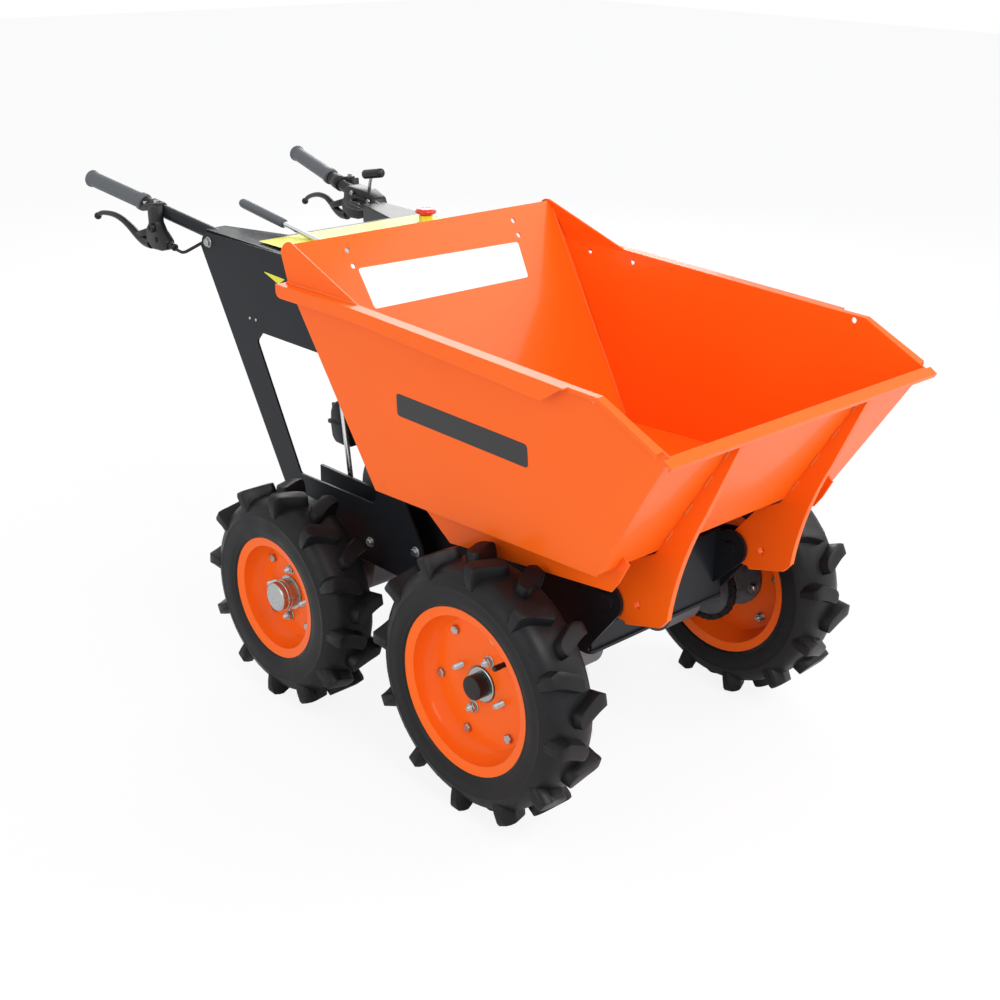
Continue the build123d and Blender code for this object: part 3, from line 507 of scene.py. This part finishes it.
def vinyl(colour, rough):
    """Gloss-laminated vinyl film of one ink, a little uneven where the roller pressed it."""
    def build(tree):
        place = node(tree, "TexCoord").outputs["Object"]
        cloud = node(tree, "TexNoise", {"Vector": place, "Scale": 14.0, "Detail": 2.0})
        shade = tuple(c * 0.93 for c in linear(colour)[:3]) + (1,)
        tone = node(tree, "Mix", {"Factor": cloud.outputs["Fac"], "A": shade, "B": linear(colour)}, data_type="RGBA")
        bump = node(tree, "Bump", {"Height": cloud.outputs["Fac"], "Strength": 0.1, "Distance": 0.001})
        return node(tree, "BsdfPrincipled", {"Base Color": tone.outputs["Result"], "Roughness": rough,
                                             "Normal": bump.outputs["Normal"]})
    return build


black_vinyl = finish("black_vinyl_film", vinyl("1d1b1c", 0.3))
white_vinyl = finish("white_vinyl_film", vinyl("f4f2ec", 0.35))
yellow_vinyl = finish("yellow_vinyl_film", vinyl("e9e23a", 0.4))

# Side wall's middle at the rim and its outward lean, from the wall's two ends
WALL_TOP_Y, WALL_TOP_Z = 310, 762
SIDE_LEAN = 23 / 310
WALL_HALF_T = 1.55


def wall_y(z):
    """Outer face of a hopper side wall, from the centreline, at a height."""
    return WALL_TOP_Y + (z - WALL_TOP_Z) * SIDE_LEAN + WALL_HALF_T


for side_name, side in (("left", 1), ("right", -1)):
    corners = [(x, side * wall_y(z), z) for x, z in ((219, 640), (512, 634), (513, 597), (218, 602))]
    sticker(f"side_plate_{side_name}", corners, (0, side, -SIDE_LEAN), 7, black_vinyl, "hopper")
REAR_WALL_OUT = Vector((376, 0, 237)).normalized()
sticker("rear_wall_plate", (
    (-19.5, -187, 776.5), (-15.8, 185, 770.7), (21.0, 178, 712.3), (20.2, -183, 713.6),
), REAR_WALL_OUT, 6, white_vinyl, "hopper")


def weld(mesh, start, end, radius=3.0, ripple=1.7):
    """Weld bead between two points: a round run with a ripple for each step of the electrode."""
    start, end = Vector(start), Vector(end)
    length = (end - start).length
    steps = max(4, int(length / (ripple / 2)))
    profile = [(0.3, 0)]
    for i in range(1, steps):
        way = i / steps
        swell = min(1.0, way * steps / 5, (1 - way) * steps / 5)
        profile.append((radius * (0.55 + 0.45 * swell) + (0.28 if i % 2 else -0.28), way * length))
    turned(mesh, start, end - start, profile + [(0.3, length)], 10)


# Weld runs: the rear corners inside, the apex plates on the rim, and stitches along both brackets, which
# lie on the front wall's outer face
WALL_FOOT = Vector((648, 0, 471))
WALL_UP = Vector((0.5195, 0, 0.8545))
WALL_OUT = Vector((1.2, 0, -0.7))
BRACKET_Y, BRACKET_EDGE = 153, 5.4
beads = bmesh.new()
for side in (1, -1):
    weld(beads, (-44, side * 301.5, 816), (182, side * 287.5, 457), 2.6)
    weld(beads, (-52, side * 311, 766), (132, side * 311, 765.5), 3.2)
    for low, high in ((22, 48), (84, 112), (146, 172), (206, 236)):
        for way in (1, -1):
            beside = Vector((0, side * BRACKET_Y + way * BRACKET_EDGE, 0))
            weld(beads, *(WALL_FOOT + WALL_UP * up + WALL_OUT + beside for up in (low, high)), 2.6)
piece("hopper_welds", beads, orange_enamel, "hopper", sharp=60)

# ---------------------------------------------------------------- chassis, side panels and console
# Laser-cut and folded 4-6 mm mild steel, welded and then powder coated in one go. The console is a thin
# folded tray between the side panels, and carries a yellow film and the bolts of both handles.
POWDER_PEEL_MM = 1.6


def powder(tree):
    """Charcoal powder coat: a bluish dark grey satin skin with a fine peel."""
    place = node(tree, "TexCoord").outputs["Object"]
    peel = node(tree, "TexNoise", {"Vector": place, "Scale": 1000 / POWDER_PEEL_MM, "Detail": 2.0})
    cloud = node(tree, "TexNoise", {"Vector": place, "Scale": 9.0, "Detail": 3.0})
    tone = node(tree, "Mix", {"Factor": cloud.outputs["Fac"], "A": linear("14171b"), "B": linear("1c2025")},
                data_type="RGBA")
    bump = node(tree, "Bump", {"Height": peel.outputs["Fac"], "Strength": 0.1, "Distance": 0.0004})
    return node(tree, "BsdfPrincipled", {
        "Base Color": tone.outputs["Result"], "Roughness": 0.34, "Specular IOR Level": 0.2,
        "Normal": bump.outputs["Normal"],
    })


charcoal_powder = finish("charcoal_powder_coat", powder)
coat(("chassis", "side_panel", "front_plate", "handle"), charcoal_powder)

# Console skin between the panels: flat top with a cheek back to each handle, and folded rear edges
TOP_Z = 777.0
SKIN_T = 2.5
FOLD_DEPTH = 36
PANEL_FACE_Y = 215
REAR_EDGE = ((-446, -211), (-449, -166), (-308, -121), (-308, 121), (-449, 166), (-446, 211))
console = bmesh.new()
top = [Vector((x, y, TOP_Z)) for x, y in REAR_EDGE]
top = [Vector((-130, -211, TOP_Z - 6))] + top + [Vector((-130, 211, TOP_Z - 6))]
skin(console, [top, [p - Vector((0, 0, SKIN_T)) for p in top]])
for near, far in zip(top[1:], top[2:-1]):
    inward = Vector((far.y - near.y, near.x - far.x, 0)).normalized() * SKIN_T
    corners = (near, far, far + inward, near + inward)
    skin(console, [[p - Vector((0, 0, drop)) for p in corners] for drop in (0, FOLD_DEPTH)])
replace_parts(piece("console_skin", console, charcoal_powder, "chassis", sharp=30), "console")

sticker("console_film", (
    (-297, -196, TOP_Z), (-297, 196, TOP_Z), (-190, 196, TOP_Z), (-190, -196, TOP_Z),
), (0, 0, 1), 4, yellow_vinyl, "chassis")
for side_name, side in (("left", 1), ("right", -1)):
    corners = [(x, side * PANEL_FACE_Y, z) for x, z in ((-259, 732), (-192, 729), (-213, 717))]
    sticker(f"panel_stripe_{side_name}", corners, (0, side, 0), 1, yellow_vinyl, "chassis")

bolts = bmesh.new()
PANEL_BOLTS = ((-432.5, 755, 14, 5), (38, 299, 13, 5), (161, 321, 13, 5))  # x, z, across flats, head
for side in (1, -1):
    for x, z, across, head in PANEL_BOLTS:
        bolted(bolts, (x, side * PANEL_FACE_Y, z), (0, side, 0), across, head, washer=across * 0.72, turn=20)
    for x, z in ((-307.5, 635), (-288.4, 635.4)):
        turned(bolts, (x, side * PANEL_FACE_Y, z), (0, side, 0), [(3, 0), (2.8, 0.8), (1.6, 1.6), (0.4, 1.9)], 16)
piece("panel_bolts", bolts, zinc, "chassis", sharp=28)

# ---------------------------------------------------------------- grips and handle controls
# Moulded PVC grips pushed on 25 mm tube, die-cast and painted clamp levers pulling Bowden cables, and a
# throttle box with a thumb knob. Screws are zinc plated and the gear lever's rod is chromed steel.
HANDLE_END = {side: Vector((-790.5, side * 251, 828)) for side in (1, -1)}
HANDLE_ROOT = {side: Vector((-395, side * 189, 758)) for side in (1, -1)}
GRIP_RINGS = 18
RING_STEP = 7.4


def grip_plastic(tree):
    """Dark grey moulded PVC, soft to the eye: broad dull highlights and a fine grain."""
    place = node(tree, "TexCoord").outputs["Object"]
    grain = node(tree, "TexNoise", {"Vector": place, "Scale": 1000 / 1.5, "Detail": 2.0})
    tone = node(tree, "Mix", {"Factor": grain.outputs["Fac"], "A": linear("4b4e52"), "B": linear("5b5e63")},
                data_type="RGBA")
    bump = node(tree, "Bump", {"Height": grain.outputs["Fac"], "Strength": 0.2, "Distance": 0.0003})
    return node(tree, "BsdfPrincipled", {"Base Color": tone.outputs["Result"], "Roughness": 0.5,
                                         "Normal": bump.outputs["Normal"]})


grey_grip = finish("moulded_pvc_grip", grip_plastic)
for side_name, side in (("left", 1), ("right", -1)):
    end, root = HANDLE_END[side], HANDLE_ROOT[side]
    grip = bmesh.new()
    profile = [(6, 0), (13, 0.2), (16.2, 1.6), (17.2, 3.5), (17.2, 6), (15.8, 8), (14.6, 10)]
    for i in range(GRIP_RINGS):
        at = 14 + i * RING_STEP
        profile += [(14.85, at), (15.0, at + 0.7), (15.0, at + 5.9), (14.85, at + 6.6)]
    profile += [(14.8, 151), (17.4, 154), (17.6, 160), (17.0, 163.5), (14.5, 165)]
    turned(grip, end, root - end, profile, 32)
    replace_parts(piece(f"pvc_grip_{side_name}", grip, grey_grip, "chassis", sharp=40), f"grip_{side_name}")


def swept(mesh, path, sides=12):
    """Round body along a path of (point, radius), with its ends closed."""
    rows = []
    points = [Vector(p) for p, r in path]
    over = Vector((0, 1, 0))
    angles = [math.tau * k / sides for k in range(sides)]
    for i, (_, radius) in enumerate(path):
        along = (points[min(i + 1, len(points) - 1)] - points[max(i - 1, 0)]).normalized()
        across = along.cross(over).normalized()
        out = across.cross(along)
        rows.append([points[i] + (across * math.cos(a) + out * math.sin(a)) * radius for a in angles])
    skin(mesh, rows)


def cast_body(mesh, outline, near_y, far_y, edge=1.5):
    """Casting cut square to the centreline: outline of (x, z) between two y values, its edges eased."""
    solid = bmesh.new()
    skin(solid, [[Vector((x, y, z)) for x, z in outline] for y in (near_y, far_y)])
    bmesh.ops.recalc_face_normals(solid, faces=solid.faces)
    rims = [e for e in solid.edges if e.calc_face_angle(0) > math.radians(30)]
    bmesh.ops.bevel(solid, geom=rims, offset=edge, segments=2, profile=0.5, affect="EDGES", clamp_overlap=True)
    data = bpy.data.meshes.new("casting")
    solid.to_mesh(data)
    solid.free()
    mesh.from_mesh(data)
    bpy.data.meshes.remove(data)


LEVER_BLADES = {  # side: centre line of the blade as (x, y, z), from its ball end to the perch
    1: ((-778, 262, 722), (-765, 260, 732), (-742, 257, 741), (-712, 253, 747), (-684, 250, 746), (-660, 246, 738),
        (-640, 243, 728), (-616, 240, 722), (-590, 238, 724)),
    -1: ((-796, -240, 750), (-785, -240, 757), (-764, -239, 761), (-732, -238, 762), (-700, -238, 757),
         (-672, -238, 747), (-648, -238, 736), (-620, -238, 728), (-592, -238, 728)),
}
BLADE_WIDTHS = (4.5, 4.6, 5, 5.6, 6.4, 7.2, 8.2, 10, 11)
BALL_R = 7.5
LEVER_Y = 238  # middle of both perches, from the centreline
CLAMP_X = -597
CLAMP_W = 26
controls = bmesh.new()
screws = bmesh.new()
for side in (1, -1):
    end, root = HANDLE_END[side], HANDLE_ROOT[side]
    along = (root - end).normalized()
    # Blade on a smooth curve through its points, thicker towards the perch, with its ball end
    blade = LEVER_BLADES[side]
    fine = []
    for i in range(len(blade) - 1):
        p0, p1 = Vector(blade[max(i - 1, 0)]), Vector(blade[i])
        p2, p3 = Vector(blade[i + 1]), Vector(blade[min(i + 2, len(blade) - 1)])
        for t in (0, 0.25, 0.5, 0.75):
            point = 0.5 * (2 * p1 + (p2 - p0) * t + (2 * p0 - 5 * p1 + 4 * p2 - p3) * t**2
                           + (3 * p1 - p0 - 3 * p2 + p3) * t**3)
            fine.append((point, BLADE_WIDTHS[i] * (1 - t) + BLADE_WIDTHS[i + 1] * t))
    swept(controls, fine, 14)
    ball = Vector(blade[0])
    turned(controls, ball, (0, 1, 0), [
        (BALL_R * math.sin(math.radians(a)), -BALL_R * math.cos(math.radians(a))) for a in range(10, 171, 20)
    ], 16)
    # Split clamp round the tube, with its two cap screws, and the perch that holds the blade's pivot
    seat = end + (root - end) * (CLAMP_X - end.x) / (root.x - end.x)
    turned(controls, seat - along * CLAMP_W / 2, along, [
        (14.5, 0), (16, 1.5), (16, CLAMP_W - 1.5), (14.5, CLAMP_W),
    ], 28)
    face = side * LEVER_Y
    perch = ((-590, 802), (-564, 806), (-562, 774), (-552, 761), (-538, 751), (-529, 743), (-529, 728), (-548, 722),
             (-578, 721), (-598, 731), (-604, 748), (-597, 760), (-589, 770))
    cast_body(controls, perch, face - 10, face + 10, 2.5)
    cast_body(controls, ((-626, 786), (-568, 796), (-568, 810), (-626, 800)), seat.y, side * 241, 3)
    boss = face + side * 9
    turned(controls, (-574, boss, 763), (0, side, 0), [(9, 0), (9, 5), (7.5, 7), (4, 7), (3.6, 5.6)], 22)
    turned(controls, (-566, boss, 741), (0, side, 0), [(6, 0), (6, 2.4), (4.5, 3.6), (0.5, 3.6)], 18)
    cast_body(controls, ((-648, 742), (-604, 757), (-598, 744), (-642, 731)), face - 7, face + 7, 2)
    # Cable adjuster and its lock ring
    turned(controls, (-516, face, 734), (1, 0, -0.12), [
        (6.2, -14), (7, -12), (7, -8), (6, -7), (6, -1), (7, 0), (7, 3), (4, 5),
    ], 16)
    for x, z in ((-618, 800), (-578, 808)):
        turned(screws, (x, side * 234, z), (0, 0, 1), [(4.6, 0), (4.6, 5), (3.8, 6), (2.4, 6), (2.2, 4.4)], 16)
levers = piece("clamp_levers", controls, black_steel, "chassis", sharp=50)
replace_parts(levers, "brake_lever_left", "brake_lever_right")

# Throttle box on the left tube: two castings, a thumb knob on its stem, and three cover screws
THROTTLE_Y = 212
throttle = bmesh.new()
cast_body(throttle, ((-548, 762), (-545, 790), (-535, 799), (-482, 796), (-452, 784), (-446, 770), (-470, 757),
                     (-505, 752), (-540, 753)), 191, 229, 3)
cast_body(throttle, ((-536, 766), (-480, 758), (-458, 768), (-470, 782), (-530, 788)), 187, 192, 1.5)
for x, z in ((-533, 785), (-509, 763), (-479, 775)):
    turned(screws, (x + 20, 187.5, z + 3), (0, -1, 0), [(4.8, 0), (4.8, 1.6), (3.8, 3), (2.2, 3), (2, 1.6)], 18)
turned(throttle, (-499, THROTTLE_Y, 825), (1, 0, 0.19), [
    (7.5, 0), (9.4, 1.2), (9.6, 3), (9.6, 51), (9.2, 54.5), (7, 56),
], 28)
turned(throttle, (-500.5, THROTTLE_Y, 824.7), (1, 0, 0.19), [(5.5, 1), (5.5, 1.4)], 20)
turned(screws, (-487, THROTTLE_Y, 792), (0.28, 0, 1), [(3.6, 0), (3.6, 33)], 14)
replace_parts(piece("throttle_box", throttle, black_steel, "chassis", sharp=50), "throttle")
sticker("handle_film", (
    (-527, 219.5, 795), (-455, 208, 782.5), (-455, 199, 782.5), (-527, 210, 795),
), (0.17, 0, 1), 2, yellow_vinyl, "chassis")
coat(("brake_cable", "throttle_cable"), black_steel)

# Gear lever: round-ended grip on a chromed rod that comes up through the console
lever = bmesh.new()
low, high = Vector((-226, -115, 779)), Vector((-467, -115, 812))
axis = high - low
reach = axis.length
turned(lever, low, axis, [
    (8.2, reach - 139), (8.8, reach - 137), (9.1, reach - 100), (9.1, reach - 12), (8.6, reach - 6),
    (6.8, reach - 2), (3.5, reach),
], 28)
rod = bmesh.new()
ROD_R = 5
bend = low - axis.normalized() * 6
turned(rod, bend, axis, [(ROD_R, 0), (ROD_R, reach - 120)], 20)
turned(rod, bend, (0.15, 0, -1), [(ROD_R, -3), (ROD_R, 40)], 16)


def polished_steel(tree):
    """Bright chromed steel rod: near mirror, a little duller in places."""
    place = node(tree, "TexCoord").outputs["Object"]
    wear = node(tree, "TexNoise", {"Vector": place, "Scale": 300.0, "Detail": 2.0})
    gloss = node(tree, "MapRange", {"Value": wear.outputs["Fac"], "To Min": 0.1, "To Max": 0.2})
    return node(tree, "BsdfPrincipled", {"Base Color": linear("d9dbdc"), "Metallic": 1.0,
                                         "Roughness": gloss.outputs["Result"]})


chrome = finish("chromed_steel_rod", polished_steel)
coat("shift_rod", chrome)
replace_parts(piece("gear_grip", lever, grey_grip, "chassis"), "gear_lever")
piece("gear_rod", rod, chrome, "chassis")
piece("control_screws", screws, zinc, "chassis", sharp=30)

# ---------------------------------------------------------------- emergency stop
# Mushroom head of glossy red polycarbonate on a yellow moulded collar, seated on the console.
STOP = Vector((-235, 150, TOP_Z))
collar = bmesh.new()
turned(collar, STOP, (0, 0, 1), [(16, 0), (16.5, 1), (16.5, 3), (14, 3.6), (13.6, 4.4), (13.6, 13), (12.6, 14)], 36)
head = bmesh.new()
turned(head, STOP, (0, 0, 1), [
    (11, 13), (11.5, 15.5), (17.5, 16.6), (19.8, 18), (20.4, 20.2), (19.6, 22.6), (17, 24.8), (13.4, 26.0),
    (12.4, 25.5), (8, 26.0), (3, 26.3),
], 40)


def gloss_plastic(colour):
    """Injection-moulded plastic with a polished skin and a trace of flow in its colour."""
    def build(tree):
        place = node(tree, "TexCoord").outputs["Object"]
        flow = node(tree, "TexNoise", {"Vector": place, "Scale": 90.0, "Detail": 2.0})
        shade = tuple(c * 0.9 for c in linear(colour)[:3]) + (1,)
        tone = node(tree, "Mix", {"Factor": flow.outputs["Fac"], "A": shade, "B": linear(colour)}, data_type="RGBA")
        return node(tree, "BsdfPrincipled", {"Base Color": tone.outputs["Result"], "Roughness": 0.22})
    return build


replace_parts(piece("stop_head", head, finish("red_polycarbonate", gloss_plastic("e02a22")), "chassis"),
            "emergency_stop")
piece("stop_collar", collar, finish("yellow_moulded_abs", gloss_plastic("e8dc3c")), "chassis")

# ---------------------------------------------------------------- engine and drive
# Small air-cooled petrol engine: die-cast crankcase, black enamelled tank and an aluminised exhaust can on
# the bed, and a cast gearbox and cast axle saddles hung under the floor.
def sand_cast(tree):
    """Sand-cast iron in grey primer: dull, mottled and slightly pitted."""
    place = node(tree, "TexCoord").outputs["Object"]
    pits = node(tree, "TexNoise", {"Vector": place, "Scale": 1000 / 3.0, "Detail": 3.0})
    cloud = node(tree, "TexNoise", {"Vector": place, "Scale": 25.0, "Detail": 3.0})
    tone = node(tree, "Mix", {"Factor": cloud.outputs["Fac"], "A": linear("55565a"), "B": linear("77787a")},
                data_type="RGBA")
    bump = node(tree, "Bump", {"Height": pits.outputs["Fac"], "Strength": 0.5, "Distance": 0.0006})
    return node(tree, "BsdfPrincipled", {"Base Color": tone.outputs["Result"], "Metallic": 0.4, "Roughness": 0.5,
                                         "Normal": bump.outputs["Normal"]})


cast_metal = finish("sand_cast_housing", sand_cast)
coat(("axle", "gearbox", "engine_block"), cast_metal)
coat("fuel_tank", black_steel)

# Air cleaner: moulded nylon case in two halves, with a clip flange round its middle and ribs across its back
CASE = ((-163, 413), (-172, 424), (-176, 446), (-175, 472), (-168, 489), (-156, 495.5), (-120, 495.5), (-120, 412))
FLANGE = ((-180, 448), (-180, 456), (-119, 456), (-119, 448))
RIB = ((-178, 424), (-178, 486), (-172, 488), (-170, 424))
CLIP = ((-182, 444), (-184, 452), (-182, 462), (-178, 462), (-178, 444))
cleaner = bmesh.new()
cast_body(cleaner, CASE, -138.5, -86, 6)
cast_body(cleaner, FLANGE, -139.8, -85.2, 1.5)
for y in range(-131, -90, 10):
    cast_body(cleaner, RIB, y, y + 3, 1)
for y in (-124, -100):
    cast_body(cleaner, CLIP, y - 5, y + 5, 1)


def moulded_nylon(tree):
    """Black glass-filled nylon: satin from the mould, with a fine spark-eroded grain."""
    place = node(tree, "TexCoord").outputs["Object"]
    grain = node(tree, "TexNoise", {"Vector": place, "Scale": 1000 / 1.8, "Detail": 2.0})
    tone = node(tree, "Mix", {"Factor": grain.outputs["Fac"], "A": linear("121315"), "B": linear("1d1e20")},
                data_type="RGBA")
    bump = node(tree, "Bump", {"Height": grain.outputs["Fac"], "Strength": 0.3, "Distance": 0.0004})
    return node(tree, "BsdfPrincipled", {"Base Color": tone.outputs["Result"], "Roughness": 0.42,
                                         "Specular IOR Level": 0.3, "Normal": bump.outputs["Normal"]})


nylon = finish("glass_filled_nylon", moulded_nylon)
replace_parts(piece("air_cleaner_case", cleaner, nylon, "chassis", sharp=50), "air_cleaner")


def heated_steel(tree):
    """Aluminised exhaust steel: warm grey metal, browned by heat in soft clouds."""
    place = node(tree, "TexCoord").outputs["Object"]
    heat = node(tree, "TexNoise", {"Vector": place, "Scale": 18.0, "Detail": 3.0})
    tone = node(tree, "Mix", {"Factor": heat.outputs["Fac"], "A": linear("6a6460"), "B": linear("8d8a86")},
                data_type="RGBA")
    return node(tree, "BsdfPrincipled", {"Base Color": tone.outputs["Result"], "Metallic": 0.8, "Roughness": 0.42})


coat("muffler", finish("aluminised_exhaust_steel", heated_steel))

# ---------------------------------------------------------------- floor, light and camera
# A wide matt white floor that shows close to white and keeps the soft shadow, a white surround, four
# softboxes at a plain level, and a camera at chest height, ahead of the machine and to its right.
FLOOR_HALF = 14
FLOOR_WHITE = 0.88  # share of plain white that the camera sees in the floor
floor_mesh = bpy.data.meshes.new("studio_floor")
floor_corners = [(x * FLOOR_HALF, y * FLOOR_HALF, 0) for x, y in ((-1, -1), (1, -1), (1, 1), (-1, 1))]
floor_mesh.from_pydata(floor_corners, [], [(0, 1, 2, 3)])
floor = bpy.data.objects.new("studio_floor", floor_mesh)
bpy.context.scene.collection.objects.link(floor)
pale = bpy.data.materials.new("pale_floor")
pale.use_nodes = True
tree = pale.node_tree
tree.nodes.clear()
matt = node(tree, "BsdfDiffuse", {"Color": linear("f4f4f4")})
lit = node(tree, "Emission", {"Color": (1, 1, 1, 1), "Strength": 1.0})
path = node(tree, "LightPath")
seen = node(tree, "Math", {0: path.outputs["Is Camera Ray"], 1: FLOOR_WHITE}, operation="MULTIPLY")
both = node(tree, "MixShader", {0: seen.outputs["Value"], 1: matt.outputs["BSDF"], 2: lit.outputs["Emission"]})
node(tree, "OutputMaterial", {"Surface": both.outputs["Shader"]})
floor_mesh.materials.append(pale)

world = bpy.data.worlds.new("studio")
bpy.context.scene.world = world
world.use_nodes = True
tree = world.node_tree
tree.nodes.clear()
path = node(tree, "LightPath")
soft = node(tree, "Background", {"Color": linear("f0f2f5"), "Strength": 0.8})
white = node(tree, "Background", {"Color": (1, 1, 1, 1), "Strength": 1.0})
seen = path.outputs["Is Camera Ray"]
for ray in ("Is Glossy Ray", "Is Transmission Ray"):
    seen = node(tree, "Math", {0: seen, 1: path.outputs[ray]}, operation="MAXIMUM").outputs["Value"]
both = node(tree, "MixShader", {0: seen, 1: soft.outputs[0], 2: white.outputs[0]})
node(tree, "OutputWorld", {"Surface": both.outputs[0]})


def softbox(name, place, aim, size, watts):
    """Square area lamp at place, turned towards aim."""
    lamp = bpy.data.lights.new(name, "AREA")
    lamp.size = size
    lamp.energy = watts
    made = bpy.data.objects.new(name, lamp)
    made.location = place
    made.rotation_euler = (Vector(aim) - Vector(place)).to_track_quat("-Z", "Y").to_euler()
    bpy.context.scene.collection.objects.link(made)


softbox("key_softbox", (3.2, -0.4, 3.2), (0.1, 0, 0.5), 2.0, 75)
softbox("side_softbox", (0.4, -3.6, 1.6), (0, 0, 0.5), 2.4, 25)
softbox("far_softbox", (2.3, 2.5, 2.3), (0.1, 0, 0.6), 1.8, 45)
softbox("rear_softbox", (-2.6, 2.6, 2.2), (0, 0, 0.5), 2.0, 50)

CAMERA_PLACE = (1.9491, -1.7286, 1.3730)
CAMERA_AZIMUTH, CAMERA_DOWN, CAMERA_ROLL = (math.radians(a) for a in (46.27, 22.18, 0.98))
camera_data = bpy.data.cameras.new("camera")
camera_data.sensor_width = 36.0
camera_data.lens = 53.89
camera = bpy.data.objects.new("camera", camera_data)
bpy.context.scene.collection.objects.link(camera)
bpy.context.scene.camera = camera
back = Vector((math.sin(CAMERA_AZIMUTH) * math.cos(CAMERA_DOWN),
               -math.cos(CAMERA_AZIMUTH) * math.cos(CAMERA_DOWN), math.sin(CAMERA_DOWN)))
right = Vector((math.cos(CAMERA_AZIMUTH), math.sin(CAMERA_AZIMUTH), 0))
up = back.cross(right)
turned_right = math.cos(CAMERA_ROLL) * right + math.sin(CAMERA_ROLL) * up
upward = -math.sin(CAMERA_ROLL) * right + math.cos(CAMERA_ROLL) * up
pose = Matrix((turned_right, upward, back)).transposed().to_4x4()
pose.translation = CAMERA_PLACE
camera.matrix_world = pose
bpy.context.scene.view_settings.view_transform = "Standard"
